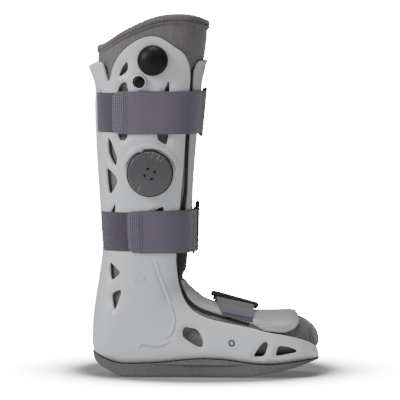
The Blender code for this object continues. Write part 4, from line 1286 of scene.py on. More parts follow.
@dataclass
class LegStrap:
    """Strap round the leg, folded back round a ring at the front, with a hook tab at its end.

    Args:
        name: first part of its pieces' names.
        middle: height of its middle, as a share of the boot's height.
        slot_x: where it comes out of the shell, as a share of the boot's length.
        end_x: where its folded end stops.
        skin: skin of the boot.
        bow: lower end, upper end, lift and radius of its ring's front bar.
    """

    name: str
    middle: float
    slot_x: float
    end_x: float
    skin: Skin
    bow: tuple[float, float, float, float] | None = None
    tab: float = 13.5 * MM
    chamfer: float = 5.0 * MM
    lies_down: float = 17.0 * MM
    UNDER_WIDTH: ClassVar[float] = 0.94
    OVER_WIDTH: ClassVar[float] = 1.02

    def __post_init__(self) -> None:
        """Measure the skin at the strap."""
        self.height = self.middle * BOOT_HEIGHT
        self.length = self.skin.length_at_height(self.height)
        girth = np.linspace(0, 1, 400)
        points = self.skin.point(np.full(400, self.length), -girth - 1e-9)
        steps = np.linalg.norm(np.diff(points, axis=0), axis=1)
        self.from_back = np.concatenate([[0.0], np.cumsum(steps)])
        self.half_girth = float(self.from_back[-1])
        self.girth = girth
        self.points = points
        self.start = self.distance(self.slot_x)
        self.end = self.distance(self.end_x)

    def distance(self, share: float) -> float:
        """Distance round from the front line at which the skin has an x."""
        x = (share - 0.5) * BOOT_LENGTH
        order = np.argsort(self.points[:, 0])
        back = np.interp(x, self.points[order, 0], self.from_back[order])
        return self.half_girth - float(back)

    def middle_surface(self, path: Sequence[tuple[float, float]], sign: float, across: Array) -> Array:
        """Middle surface of the webbing along a profile, on the outer side where the sign is -1."""
        lengths = np.array([self.skin.length_at_height(self.height + w) for w in across])
        columns = []
        for s, lift in path:
            share = np.interp(self.half_girth - s, self.from_back, self.girth)
            columns.append(self.skin.point(lengths, np.full(len(across), sign * share), lift))
        return np.array(columns)

    def slot(self) -> Array:
        """Chart outline of the slot in the shell on the outer side."""
        share = np.interp(self.half_girth - self.start, self.from_back, self.girth)
        scale = HALF_GIRTH / self.half_girth
        half, reach = 1.9 * MM, STRAP_WIDTH / 2 + 3.4 * MM
        low, high = (self.skin.length_at_height(self.height + w) for w in (reach, -reach))
        middle = -share * HALF_GIRTH
        corners = [(middle - half * scale, low), (middle + half * scale, low), (middle + half * scale, high),
                   (middle - half * scale, high)]
        return resampled(rounded(resampled(np.array(corners), True, 5 * MM), True, 1), True, 1.2 * MM)

    def build(self, finishes: Finishes) -> None:
        """Make the webbing on both sides, the ring and the hook tab.

        Args:
            finishes: finishes of the boot.
        """
        bar = RING_PITCH / 2
        bars = []
        for sign, name, end in ((-1, self.name + "_strap", self.end),
                                (1, self.name + "_strap_inner", 5 * bar)):
            path = strap_path(self.start, bar, end, min(self.lies_down, end - bar))
            fold_at = min(range(len(path)), key=lambda i: path[i][0])
            widths = np.interp(range(len(path)), (fold_at - 8, fold_at + 2),
                               (self.UNDER_WIDTH, self.OVER_WIDTH))
            middle = np.array([self.middle_surface([place], sign, ACROSS * width)[0]
                               for place, width in zip(path, widths)])
            piece = ribbon(name + "_webbing", middle, ACROSS, STRAP_THICKNESS, fold_at)
            two_tone(piece, finishes)
            finishes.dress(piece, Materials.WEBBING, "boot", name)
            centre = self.middle_surface([(bar, UNDER_LIFT + FOLD_RADIUS)], sign, ACROSS[[0, -1]])[0]
            bars.append([Vector(p) for p in centre])
        ring = ring_through(self.name + "_ring_bar", bars)
        finishes.dress(ring, Materials.BLACK, "boot", self.name + "_ring")
        if self.bow is not None:
            low, high, lift, radius = self.bow
            line = self.middle_surface([(0.0, lift)], -1, np.linspace(low, high, 9))[0]
            finishes.dress(Bar(self.name + "_ring_bow", line, radius).build(), Materials.BLACK, "boot")
        self.build_tab(finishes)

    def surface(self, s: float, lift: float, across: Array) -> tuple[Array, Array]:
        """Points at a distance round from the front on the outer side, and their outward directions."""
        low, high = self.middle_surface([(s, lift), (s, lift + MM)], -1, across)
        return low, unit(high - low)

    def seams(self) -> list[tuple[Array, Array]]:
        """Seam lines across the end of the folded webbing, each with its outward directions."""
        across = np.arange(-23.0, 23.5, 2.6) * MM
        return [self.surface(self.end - inset, OVER_LIFT + STRAP_THICKNESS / 2, across)
                for inset in (1.8 * MM, 4.0 * MM)]

    def hooks(self) -> list[tuple[Array, Array]]:
        """Rows of hook places over the hook tab, each with its outward directions."""
        start, stop = self.end + GAP, self.end + GAP + self.tab
        rows = []
        for s in np.arange(start + 1.2 * MM, stop - 0.8 * MM, 2.3 * MM):
            reach = 24.0 * MM - max(0.0, s - (stop - self.chamfer))
            across = np.arange(-10, 11) * 2.35 * MM
            rows.append(self.surface(s, OVER_LIFT + STRAP_THICKNESS / 2, across[np.abs(across) < reach]))
        return rows

    def build_tab(self, finishes: Finishes) -> None:
        """Make the hook tab, whose free corners are cut."""
        start, stop = self.end + GAP, self.end + GAP + self.tab
        corner = stop - self.chamfer
        distances = np.concatenate([np.linspace(start, corner, 9), np.linspace(corner, stop, 7)[1:]])
        columns = []
        for s in distances:
            narrow = max(0.0, s - (stop - self.chamfer))
            across = ACROSS * (1 - narrow / ACROSS.max())
            columns.append(self.middle_surface([(s, OVER_LIFT)], -1, across)[0])
        piece = ribbon(self.name + "_hook_tab", np.array(columns), ACROSS, STRAP_THICKNESS)
        finishes.dress(piece, Materials.HOOKS, "boot", self.name + "_tab")


@dataclass
class FootStrap:
    """Strap over the instep with its ring on top, folded down on the outer side.

    Args:
        skin: skin of the boot.
    """

    skin: Skin
    lies_down: float = 0.34
    short: float = 0.10

    def lengths_at(self, angle: float, xs: Array) -> Array:
        """Lengths along the foot at which the skin has some x at an angle."""
        start = self.skin.knots[len(LEG_SECTIONS)]
        lengths = np.linspace(start, self.skin.knots[-4], 300)
        points = self.skin.at_angle(lengths, np.full(300, angle))
        return np.interp(xs, points[:, 0], lengths)

    def column(self, angle: float, lift: float, across: Array) -> Array:
        """Points across the strap at an angle of the foot."""
        share = abs(angle) / FOOT_STRAP_ANGLE
        t = (across + STRAP_WIDTH / 2) / STRAP_WIDTH
        rear = FOOT_STRAP_TOP[0] + (FOOT_STRAP_LOW[0] - FOOT_STRAP_TOP[0]) * share
        front = FOOT_STRAP_TOP[1] + (FOOT_STRAP_LOW[1] - FOOT_STRAP_TOP[1]) * share
        xs = (rear + (front - rear) * t - 0.5) * BOOT_LENGTH
        lengths = self.lengths_at(angle, xs)
        angles = np.full(len(xs), angle)
        return self.skin.at_angle(lengths, angles) + self.skin.normal(lengths, angles) * lift

    def build(self, finishes: Finishes) -> None:
        """Make the webbing on both sides and the ring."""
        middle = (FOOT_STRAP_TOP[0] + FOOT_STRAP_TOP[1]) / 2
        length = self.lengths_at(0.0, np.array([(middle - 0.5) * BOOT_LENGTH]))
        ends = self.skin.at_angle(np.repeat(length, 2), np.array([0.12, -0.12]))
        rate = float(np.linalg.norm(ends[0] - ends[1])) / 0.24
        bar = RING_PITCH / 2 / rate
        bars = []
        for sign, name, end in ((-1, "foot_strap", FOOT_STRAP_ANGLE), (1, "foot_strap_inner", bar * 5)):
            under = [self.column(sign * a, UNDER_LIFT, ACROSS)
                     for a in np.linspace(FOOT_STRAP_ANGLE, bar + 0.1, 34)]
            base = self.column(sign * bar, UNDER_LIFT, ACROSS)
            t = ((ACROSS - ACROSS[0]) / (ACROSS[-1] - ACROSS[0]))[:, None]
            flat = base[0] * (1 - t) + base[-1] * t
            out = self.skin.normal(length, np.array([sign * bar]))[0]
            beyond = self.column(sign * (bar - 0.02), UNDER_LIFT, ACROSS)
            onward = unit((beyond - base).mean(axis=0))
            turns = [flat + out * FOLD_RADIUS * (1 - cos(a)) + onward * FOLD_RADIUS * sin(a)
                     for a in np.linspace(0, pi, 15)]
            over = []
            for a in np.arange(bar + 0.05, end - (self.short if sign < 0 else 0.0) + 0.001, 0.035):
                share = min((a - bar) / self.lies_down, 1.0)
                eased = share * share * (3 - 2 * share)
                column = self.column(sign * a, TOP_LIFT + (OVER_LIFT - TOP_LIFT) * eased, ACROSS)
                straight = column[0] * (1 - t) + column[-1] * t
                keep = max(0.0, 1 - (a - bar) / 0.3)
                over.append(column * (1 - keep) + straight * keep)
            columns = np.array(under + turns + over)
            piece = ribbon(name + "_webbing", columns, ACROSS, STRAP_THICKNESS, len(under) + 7)
            two_tone(piece, finishes)
            finishes.dress(piece, Materials.WEBBING, "boot", name)
            bars.append([Vector(flat[0] + out * FOLD_RADIUS), Vector(flat[-1] + out * FOLD_RADIUS)])
        ring = ring_through("foot_ring_bar", bars)
        finishes.dress(ring, Materials.BLACK, "boot", "foot_ring")
        top = self.column(-0.06, UNDER_LIFT, ACROSS)
        start, end = top[0] + out * 8.0 * MM, top[-1] + out * 5.6 * MM
        reach = unit(end - start) * MM
        line = np.linspace(start - 3.0 * reach, end + reach, 12)
        finishes.dress(Bar("foot_ring_bow", line, 3.7 * MM).build(), Materials.BLACK, "boot")


class FrontPlates:
    """Shin plate and foot plate, which cross the front line of the boot."""

    SHIN_TOP = 0.874
    SHIN_LOW = 0.352
    FOOT_REAR = (0.436, 0.262)
    FOOT_FRONT = (0.893, 0.171)

    def __init__(self, skin: Skin, chart: Chart) -> None:
        """Keep the plain skin of the boot and its chart."""
        self.skin = skin
        self.chart = chart

    def loop(self, edge: Outline, first: tuple[float, float], last: tuple[float, float]) -> Array:
        """Chart outline of a plate from its outer edge, counted from the front line."""
        flat = self.chart.flat(side_line(edge, 1.5 * MM, 1), from_front=True)
        ends = self.chart.flat(np.array([side(first), side(last)]), from_front=True)
        ends[:, 0] = 0.0
        half = np.vstack([ends[:1], flat, ends[1:]])
        loop = np.vstack([half, mirrored(half)[1:-1]])
        return resampled(loop, True, 1.5 * MM)

    def shin_relief(self, points: Array, reach: Array, hole_reach: Array) -> Array:
        """Lipped top edge, and a shallow raised field inside the rim."""
        top = smoothstep(0.845 * BOOT_HEIGHT, 0.876 * BOOT_HEIGHT, points[:, 2]) ** 2 * 2.2 * MM
        return top + 0.5 * MM * smoothstep(5 * MM, 8 * MM, reach)

    def foot_relief(self, points: Array, reach: Array, hole_reach: Array) -> Array:
        """Upturned front rim, a crease along the side and a shallow raised field."""
        x = points[:, 0]
        tip = smoothstep(0.835 * BOOT_LENGTH - BOOT_LENGTH / 2, 0.895 * BOOT_LENGTH - BOOT_LENGTH / 2,
                         x) ** 2
        height = 1.6 * MM * tip + 0.5 * MM * smoothstep(5 * MM, 8 * MM, reach)
        return height + ridge_line(points, [(0.700, 0.144), (0.755, 0.147), (0.800, 0.150)], 1.6 * MM,
                                   0.6 * MM)

    def build(self, finishes: Finishes) -> None:
        """Make both plates."""
        shin = self.loop(SHIN_EDGE, (0.505, self.SHIN_TOP), (0.441, self.SHIN_LOW))
        sheet = TrimmedSheet("shin_plate", self.skin, shin, wall=PANEL_WALL, from_front=True)
        finishes.dress(sheet.build(self.shin_relief), Materials.PANEL, "boot", "shin_panel")
        foot = self.loop(FOOT_EDGE, self.FOOT_REAR, self.FOOT_FRONT)
        sheet = TrimmedSheet("foot_plate", self.skin, foot, wall=PANEL_WALL, from_front=True, spacing=2 * MM)
        plate = sheet.build(self.foot_relief)
        # The foot plate takes the darker copy of the panel plastic, a painted shade.
        plate.data.materials.append(finishes.instep)
        finishes.dress(plate, Materials.PANEL, "boot", "foot_panel")
        pad = self.loop(PAD_EDGE, (0.505, 0.868), (0.690, 0.185))
        sheet = TrimmedSheet("front_padding", self.skin, pad, wall=3.9 * MM, from_front=True,
                             lift=-SHELL_WALL - GAP, fillet=1.8 * MM, spacing=3 * MM)
        piece = sheet.build()
        finishes.dress(piece, Materials.PAD, "boot", "front_pad")


SOLE_BOTTOM: Outline = [
    (0.020, 0.064), (0.026, 0.045), (0.055, 0.029), (0.089, 0.018), (0.123, 0.008), (0.151, 0.0),
    (0.652, 0.0), (0.703, 0.004), (0.776, 0.012), (0.851, 0.021), (0.906, 0.031), (0.954, 0.042),
    (0.995, 0.048),
]
SOLE_PLAN: Outline = [
    (0.0185, 0.16), (0.026, 0.35), (0.044, 0.52), (0.080, 0.66), (0.140, 0.75), (0.231, 0.79),
    (0.375, 0.79), (0.500, 0.82), (0.608, 0.88), (0.708, 0.97), (0.801, 1.02), (0.873, 0.99),
    (0.930, 0.88), (0.964, 0.73), (0.985, 0.50), (0.994, 0.22),
]


@dataclass
class Sole:
    """Rocker sole with rounded edges and a grooved tread.

    Args:
        groove: depth of the tread's grooves.
        pitch: spacing of the grooves.
    """

    groove: float = 1.4 * MM
    pitch: float = 9.0 * MM

    def heights(self, x: Array) -> tuple[Array, Array]:
        """Bottom and top of the sole at some x."""
        bottom = rounded([side(p) for p in SOLE_BOTTOM], False, 2)
        top = rounded([side(p) for p in SOLE_LINE[::-1]], False, 2)
        return np.interp(x, bottom[:, 0], bottom[:, 1]), np.interp(x, top[:, 0], top[:, 1])

    def build(self, finishes: Finishes) -> None:
        """Make the sole."""
        half = [((x - 0.5) * BOOT_LENGTH, -y * FOREFOOT_WIDTH / 2) for x, y in SOLE_PLAN]
        plan = np.array(half + [(x, -y) for x, y in reversed(half)])
        loop = resampled(rounded(plan, True, 2), True, 1.6 * MM)
        run = unit(np.roll(loop, -1, axis=0) - np.roll(loop, 1, axis=0))
        inward = np.stack([-run[:, 1], run[:, 0]], axis=1)
        profile = [(4.2, 0.0), (2.4, 0.02), (1.2, 0.08), (0.6, 0.18), (0.35, 0.32), (0.25, 0.50),
                   (0.15, 0.66),
                   (0.05, 0.80), (0.0, 0.90), (0.25, 0.97), (0.9, 1.0)]
        rings = []
        for inset, share in profile:
            at = loop + inward * inset * MM
            low, high = self.heights(at[:, 0])
            rings.append(np.column_stack([at, low + (high - GAP - low) * share]))
        size = len(loop)
        verts = list(np.vstack(rings))
        faces = ring_faces(len(rings), size)
        for ring, first, grid_step in ((rings[0][:, :2], 0, 1.9 * MM),
                                       (rings[-1][:, :2], (len(rings) - 1) * size, 6 * MM)):
            low, high = ring.min(axis=0), ring.max(axis=0)
            xs, ys = np.meshgrid(np.arange(low[0], high[0], grid_step),
                                 np.arange(low[1], high[1], grid_step))
            grid = np.column_stack([xs.ravel(), ys.ravel()])
            grid = grid[inside(grid, ring)]
            grid = grid[distance_to(grid, [ring]) > grid_step * 0.7]
            places = np.vstack([ring, grid])
            edges = [(i, (i + 1) % size) for i in range(size)]
            cut = geometry.delaunay_2d_cdt([Vector(p) for p in places.tolist()], edges, [], 1, 1e-7, False)
            flat = np.array([tuple(v) for v in cut[0]])
            bottom, top = self.heights(flat[:, 0])
            if first == 0:
                depth = self.tread(flat, distance_to(flat, [ring]))
                height = bottom + depth
            else:
                height = top - GAP
            base = len(verts)
            verts += list(np.column_stack([flat, height]))
            faces += [tuple(base + i for i in f) for f in cut[2]]
        mesh = mesh_from("sole_moulding", np.array(verts), faces)
        shape = bmesh.new()
        shape.from_mesh(mesh)
        bmesh.ops.remove_doubles(shape, verts=shape.verts, dist=0.00002)
        bmesh.ops.recalc_face_normals(shape, faces=shape.faces)
        shape.to_mesh(mesh)
        shape.free()
        piece = new_object("sole_moulding", mesh)
        shade(piece, 50.0)
        finishes.dress(piece, Materials.SOLE, "boot", "outsole")

    def tread(self, flat: Array, reach: Array) -> Array:
        """Depth of the tread's grooves, which run across in shallow waves."""
        wave = flat[:, 0] + 3.0 * MM * np.cos(flat[:, 1] / (16 * MM) * pi)
        phase = np.abs(((wave / self.pitch) % 1.0) - 0.5) * 2
        groove = 1 - smoothstep(0.16, 0.34, phase)
        lane = smoothstep(1.2 * MM, 2.2 * MM, np.abs(np.abs(flat[:, 1]) - 17 * MM))
        return self.groove * np.maximum(groove, 1 - lane) * smoothstep(4 * MM, 5.5 * MM, reach)


@dataclass
class Turned:
    """Turned piece on the outer side of the shell.

    Args:
        name: name of the piece.
        centre: its centre on the skin.
        profile: radius and height pairs, height out along -Y.
        sides: number of its sides.
    """

    name: str
    centre: tuple[float, float, float]
    profile: list[tuple[float, float]]
    sides: int = 96

    def build(self, relief: Callable[[Array, Array], Array] | None = None) -> Thing:
        """Make the piece.

        Args:
            relief: extra height from x and z about the centre.

        Returns:
            The piece, shaded smooth with its edges kept.
        """
        angles = np.linspace(0, 2 * pi, self.sides, endpoint=False)
        verts, rings, faces = [], [], []
        for radius, height in self.profile:
            if radius == 0.0:
                rings.append([len(verts)])
                verts.append((self.centre[0], self.centre[1] - height, self.centre[2]))
                continue
            x, z = radius * np.cos(angles), radius * np.sin(angles)
            lift = np.full(self.sides, height)
            if relief is not None:
                lift = lift + relief(x, z)
            rings.append(list(range(len(verts), len(verts) + self.sides)))
            verts += list(zip(self.centre[0] + x, self.centre[1] - lift, self.centre[2] + z))
        for ring, following in zip(rings, rings[1:] + rings[:1]):
            if len(ring) == 1 and len(following) == 1:
                continue
            for i in range(self.sides):
                j = (i + 1) % self.sides
                corners = [ring[i % len(ring)], ring[j % len(ring)], following[j % len(following)],
                           following[i % len(following)]]
                faces.append(tuple(dict.fromkeys(corners)))
        made = new_object(self.name, recalculated(mesh_from(self.name, np.array(verts), faces)))
        shade(made, 35.0)
        return made


class Controls:
    """Pump bulb, release valve and selector dial on the outer side."""

    BULB_RADIUS = 18.3 * MM
    BULB_HEIGHT = 15.0 * MM
    COLLAR_RADIUS = 9.1 * MM
    VALVE_HEIGHT = 5.2 * MM
    BUTTON_RADIUS = 6.8 * MM
    BUTTON_PROUD = 3.0 * MM
    SEAT_RADIUS = 28.0 * MM
    SEAT_HEIGHT = 5.0 * MM
    DIAL_RADIUS = 26.3 * MM
    DIAL_HEIGHT = 8.0 * MM
    SLOT_DEPTH = 2.0 * MM
    CROWN = 1.6 * MM

    def __init__(self, skin: Skin, chart: Chart) -> None:
        """Find the controls' places on the skin."""
        self.skin = skin
        self.chart = chart

    def centre(self, place: tuple[float, float]) -> tuple[float, float, float]:
        """Point of the outer skin at a place of the side view."""
        x, z = side(place)
        length, girth = self.chart.settled(np.array([[x, z]])).T
        point = self.skin.point(length, -girth)[0]
        return x, float(point[1]), z

    def build(self, finishes: Finishes) -> None:
        """Make the controls."""
        rim = 2.2 * MM
        dome = [(0.0, -3.0 * MM), (self.BULB_RADIUS, -3.0 * MM), (self.BULB_RADIUS, rim)]
        for degrees in np.linspace(4, 86, 24):
            dome.append((self.BULB_RADIUS * cos(radians(degrees)) ** 0.95,
                         rim + (self.BULB_HEIGHT - rim) * sin(radians(degrees)) ** 0.95))
        bulb = Turned("pump_dome", self.centre(BULB_PLACE), dome + [(0.0, self.BULB_HEIGHT)]).build()
        finishes.dress(bulb, Materials.BULB, "boot", "pump_bulb")
        bore, wide, high = self.BUTTON_RADIUS + GAP, self.COLLAR_RADIUS, self.VALVE_HEIGHT
        profile = [(bore, -3.0 * MM), (wide + 1.0 * MM, -3.0 * MM), (wide + 0.8 * MM, 0.0),
                   (wide + 0.1 * MM, 1.2 * MM),
                   (wide, high - 1.0 * MM), (wide - 0.25 * MM, high - 0.35 * MM), (wide - 0.7 * MM, high),
                   (bore + 0.5 * MM, high), (bore + 0.12 * MM, high - 0.15 * MM), (bore, high - 0.5 * MM)]
        collar = Turned("valve_housing", self.centre(VALVE_PLACE), profile).build()
        finishes.dress(collar, Materials.SHELL, "boot", "valve_collar")
        foot, top, radius = 3.4 * MM, high + self.BUTTON_PROUD, self.BUTTON_RADIUS
        profile = [(0.0, foot), (radius, foot), (radius, high + 0.4 * MM)]
        profile += [(radius * cos(radians(a)) ** 0.8,
                     high + 0.4 * MM + (top - high - 0.4 * MM) * sin(radians(a)))
                    for a in range(8, 90, 8)]
        button = Turned("release_button", self.centre(VALVE_PLACE), profile + [(0.0, top)]).build()
        finishes.dress(button, Materials.BULB, "button", "valve_button")
        self.build_dial(finishes)

    def dial_relief(self, x: Array, z: Array) -> Array:
        """Four small slots round the middle, and grooves in from the rim."""
        radius, bearing = np.hypot(x, z), np.arctan2(z, x)
        height = np.zeros_like(x)
        for k in range(4):
            away = (bearing - (k * pi / 2 + 0.35) + pi) % (2 * pi) - pi
            slot = 1 - smoothstep(1.5 * MM, 1.8 * MM, np.abs(away) * 6.5 * MM)
            slot = slot * (1 - smoothstep(0.8 * MM, 1.1 * MM, np.abs(radius - 6.5 * MM)))
            height = height - self.SLOT_DEPTH * slot
        inner = radius < self.DIAL_RADIUS - 0.8 * MM
        for degrees in (96, 84, 64, 50, 36, 24, -128):
            away = (bearing - radians(degrees) + pi) % (2 * pi) - pi
            groove = np.exp(-((away * radius) / (0.45 * MM)) ** 2)
            groove = groove * smoothstep(15.5 * MM, 19.5 * MM, radius)
            height = height - 0.45 * MM * groove
        crown = self.CROWN * (1 - (radius / self.DIAL_RADIUS) ** 2)
        return np.where(inner, height + crown, 0.0)

    def build_dial(self, finishes: Finishes) -> None:
        """Make the dial's seat and the dial."""
        centre = self.centre(DIAL_PLACE)
        bore, wide, high = 5.3 * MM, self.SEAT_RADIUS, self.SEAT_HEIGHT
        profile = [(bore, -5.5 * MM), (wide, -5.5 * MM), (wide, high - 0.8 * MM),
                   (wide - 0.25 * MM, high - 0.25 * MM),
                   (wide - 0.8 * MM, high), (bore, high)]
        seat = Turned("dial_base", centre, profile, 128).build()
        finishes.dress(seat, Materials.BLACK, "boot", "dial_seat")
        low, top, radius = high + GAP, high + GAP + self.DIAL_HEIGHT, self.DIAL_RADIUS
        profile = [(0.0, low - 3 * MM), (5.0 * MM, low - 3 * MM), (5.0 * MM, low), (radius - 0.3 * MM, low),
                   (radius, low + 0.4 * MM), (radius, top - 1.5 * MM)]
        profile += [(radius - 1.4 * MM * (1 - cos(a)), top - 1.4 * MM * (1 - sin(a)))
                    for a in np.linspace(0.1, pi / 2, 8)]
        profile += [(r, top) for r in np.arange(radius - 1.9 * MM, 0.4 * MM, -0.42 * MM)]
        dial = Turned("dial_face", centre, profile + [(0.0, top + self.CROWN)], 360).build(self.dial_relief)
        dial.data.materials.append(finishes.made[Materials.DIAL])
        dial.data.materials.append(finishes.made[Materials.BLACK])
        # Faces deep in the four slots take the black plastic: painted shade in the slots.
        for face in dial.data.polygons:
            x, y, z = face.center
            radius = hypot(x - centre[0], z - centre[2])
            crown = self.CROWN * (1 - (radius / self.DIAL_RADIUS) ** 2)
            height = centre[1] - y
            if radius < 10 * MM and low + MM < height < top + crown - 0.35 * self.SLOT_DEPTH:
                face.material_index = 1
        finishes.dress(dial, Materials.DIAL, "dial", "selector_dial")
        profile = [(0.0, -2.0), (3.4, -2.0), (3.4, 3.6), (3.2, 3.9), (2.8, 3.9), (2.6, 3.2), (2.3, 3.2),
                   (2.1, 3.9),
                   (1.6, 4.3), (0.8, 4.5), (0.0, 4.5)]
        marker = Turned("dial_marker", self.centre(MARKER_PLACE), [(r * MM, h * MM) for r, h in profile],
                        48).build()
        finishes.dress(marker, Materials.SHELL, "boot")


class Liner:
    """Padded fabric boot inside the shell, with the bound edge at its top."""

    VOXEL = 4.6 * MM
    FREE_SWELL = 1.5 * MM
    HELD_SWELL = 0.2 * MM
    VENT_DIP = 4.6 * MM
    FRAMES = 20
    SMOOTHINGS = 14

    def __init__(self, skin: Skin, chart: Chart) -> None:
        """Keep the plain skin of the boot and its chart."""
        self.skin = skin
        self.chart = chart

    def padded_copy(self, node: str, name: str, cover: list[Thing]) -> Thing:
        """Remesh a copy of a node and let it swell where nothing covers it.

        Args:
            node: the node's name.
            name: name of the new piece.
            cover: pieces that lie over it.

        Returns:
            The swollen piece.
        """
        mesh = bpy.data.objects[node].data.copy()
        mesh.materials.clear()
        shape = bmesh.new()
        shape.from_mesh(mesh)
        bmesh.ops.remove_doubles(shape, verts=shape.verts, dist=0.00001)
        shape.to_mesh(mesh)
        shape.free()
        piece = new_object(name, mesh)
        remesh = piece.modifiers.new("remesh", "REMESH")
        remesh.mode = "VOXEL"
        remesh.voxel_size = self.VOXEL
        applied(piece)
        rest = read_vertices(piece.data)
        self.swell(piece)
        push = read_vertices(piece.data) - rest
        cap = self.caps(piece, rest, cover)
        size = np.linalg.norm(push, axis=1)
        push *= np.minimum(1.0, cap / np.maximum(size, 1e-9))[:, None]
        piece.data.vertices.foreach_set("co", (rest + push - self.dips(piece, rest)).ravel())
        return subdivided(piece)

    def dips(self, piece: Thing, rest: Array) -> Array:
        """How far each point lies back behind the vents of the shell."""
        normals = read_vertices(piece.data, "normal")
        outward = np.sign(rest[:, 1]) * normals[:, 1] > 0.3
        places = rest[:, [0, 2]]
        depth = np.zeros(len(rest))
        for outline in VENTS.values():
            loop = rounded([side(p) for p in outline], True)
            reach = np.where(inside(places, loop), 0.0, distance_to(places, [loop]))
            depth = np.maximum(depth, 1 - smoothstep(0.0, 6 * MM, reach))
        return normals * (depth * outward * self.VENT_DIP)[:, None]

    def swell(self, piece: Thing) -> None:
        """Run the cloth with air in it, and keep its result."""
        cloth = piece.modifiers.new("cloth", "CLOTH")
        cloth.settings.use_pressure = True
        cloth.settings.uniform_pressure_force = 4.0
        cloth.settings.effector_weights.gravity = 0.0
        scene = bpy.context.scene
        scene.frame_start, scene.frame_end = 1, self.FRAMES
        for number in range(1, self.FRAMES + 1):
            scene.frame_set(number)
        applied(piece)
        scene.frame_set(1)

    def caps(self, piece: Thing, rest: Array, cover: list[Thing]) -> Array:
        """How far each point may swell: little under the shell and plates, and more in the open."""
        depsgraph = bpy.context.evaluated_depsgraph_get()
        trees = [BVHTree.FromObject(thing, depsgraph) for thing in cover]
        caps = np.full(len(rest), self.FREE_SWELL)
        for i, vertex in enumerate(piece.data.vertices):
            start = Vector(rest[i])
            if any(tree.ray_cast(start, vertex.normal, 0.02)[0] is not None for tree in trees):
                caps[i] = self.HELD_SWELL
        line = rounded([side(p) for p in LINER_TOP], False, 2)
        below = np.interp(rest[:, 0], line[:, 0], line[:, 1]) - rest[:, 2]
        caps = np.minimum(caps, self.HELD_SWELL + self.FREE_SWELL * smoothstep(9 * MM, 26 * MM, below))
        for _ in range(2):
            total, number = caps.copy(), np.ones(len(rest))
            for edge in piece.data.edges:
                a, b = edge.vertices
                total[a] += caps[b]
                total[b] += caps[a]
                number[a] += 1
                number[b] += 1
            caps = np.minimum(caps, total / number)
        return caps

    @staticmethod
    def top_line(chart: Chart, spacing: float) -> Array:
        """Chart places of the liner's top edge on the outer side, from the back to the front."""
        line = side_line(LINER_TOP, spacing)
        places = chart.settled(line)
        miss = np.linalg.norm(chart.seen(places) - line, axis=1)
        places = places[(miss < 0.5 * MM) & (places[:, 1] > 0.02) & (places[:, 1] < 0.98)]
        return np.stack([-places[:, 1] * HALF_GIRTH, places[:, 0]], axis=1)

    def band(self, finishes: Finishes) -> None:
        """Make the bound edge: a folded tape over the liner's top edge."""
        half = self.top_line(self.chart, 1.8 * MM)
        half = np.vstack([[0.0, half[0, 1]], half, [-HALF_GIRTH, half[-1, 1]]])
        half = resampled(half, False, 1.8 * MM)
        for _ in range(self.SMOOTHINGS):
            half[1:-1] = (half[:-2] + 2 * half[1:-1] + half[2:]) / 4
        closed = np.vstack([half, mirrored(half)[1:-1]])
        base, out = self.skin.placed(closed)
        profile = [(-4.8, -13.5), (-4.3, -10.6), (-3.2, -10.2), (-2.9, -9.2), (-3.0, -8.0), (-3.7, -7.4),
                   (-3.1, -6.8), (-2.8, -5.0),
                   (-2.9, -2.8), (-3.9, -1.0), (-6.0, -0.2), (-8.2, 0.0), (-10.4, -0.2), (-12.4, -1.0),
                   (-13.4, -2.8),
                   (-13.5, -5.0), (-13.4, -9.4), (-12.0, -10.6), (-11.6, -13.5)]
        rings = [base + out * lift * MM + np.array([0, 0, 1.0]) * rise * MM for lift, rise in profile]
        faces = ring_faces(len(rings), len(base), closed=True)
        mesh = recalculated(mesh_from("edge_binding", np.vstack(rings), faces))
        piece = subdivided(new_object("edge_binding", mesh))
        finishes.dress(piece, Materials.BINDING, "boot", "liner_collar")

    def build(self, finishes: Finishes, cover: list[Thing]) -> None:
        """Make the liner and its bound edge."""
        piece = self.padded_copy("liner", "liner_boot", cover)
        finishes.dress(piece, Materials.LINER, "boot", "liner")
        self.band(finishes)


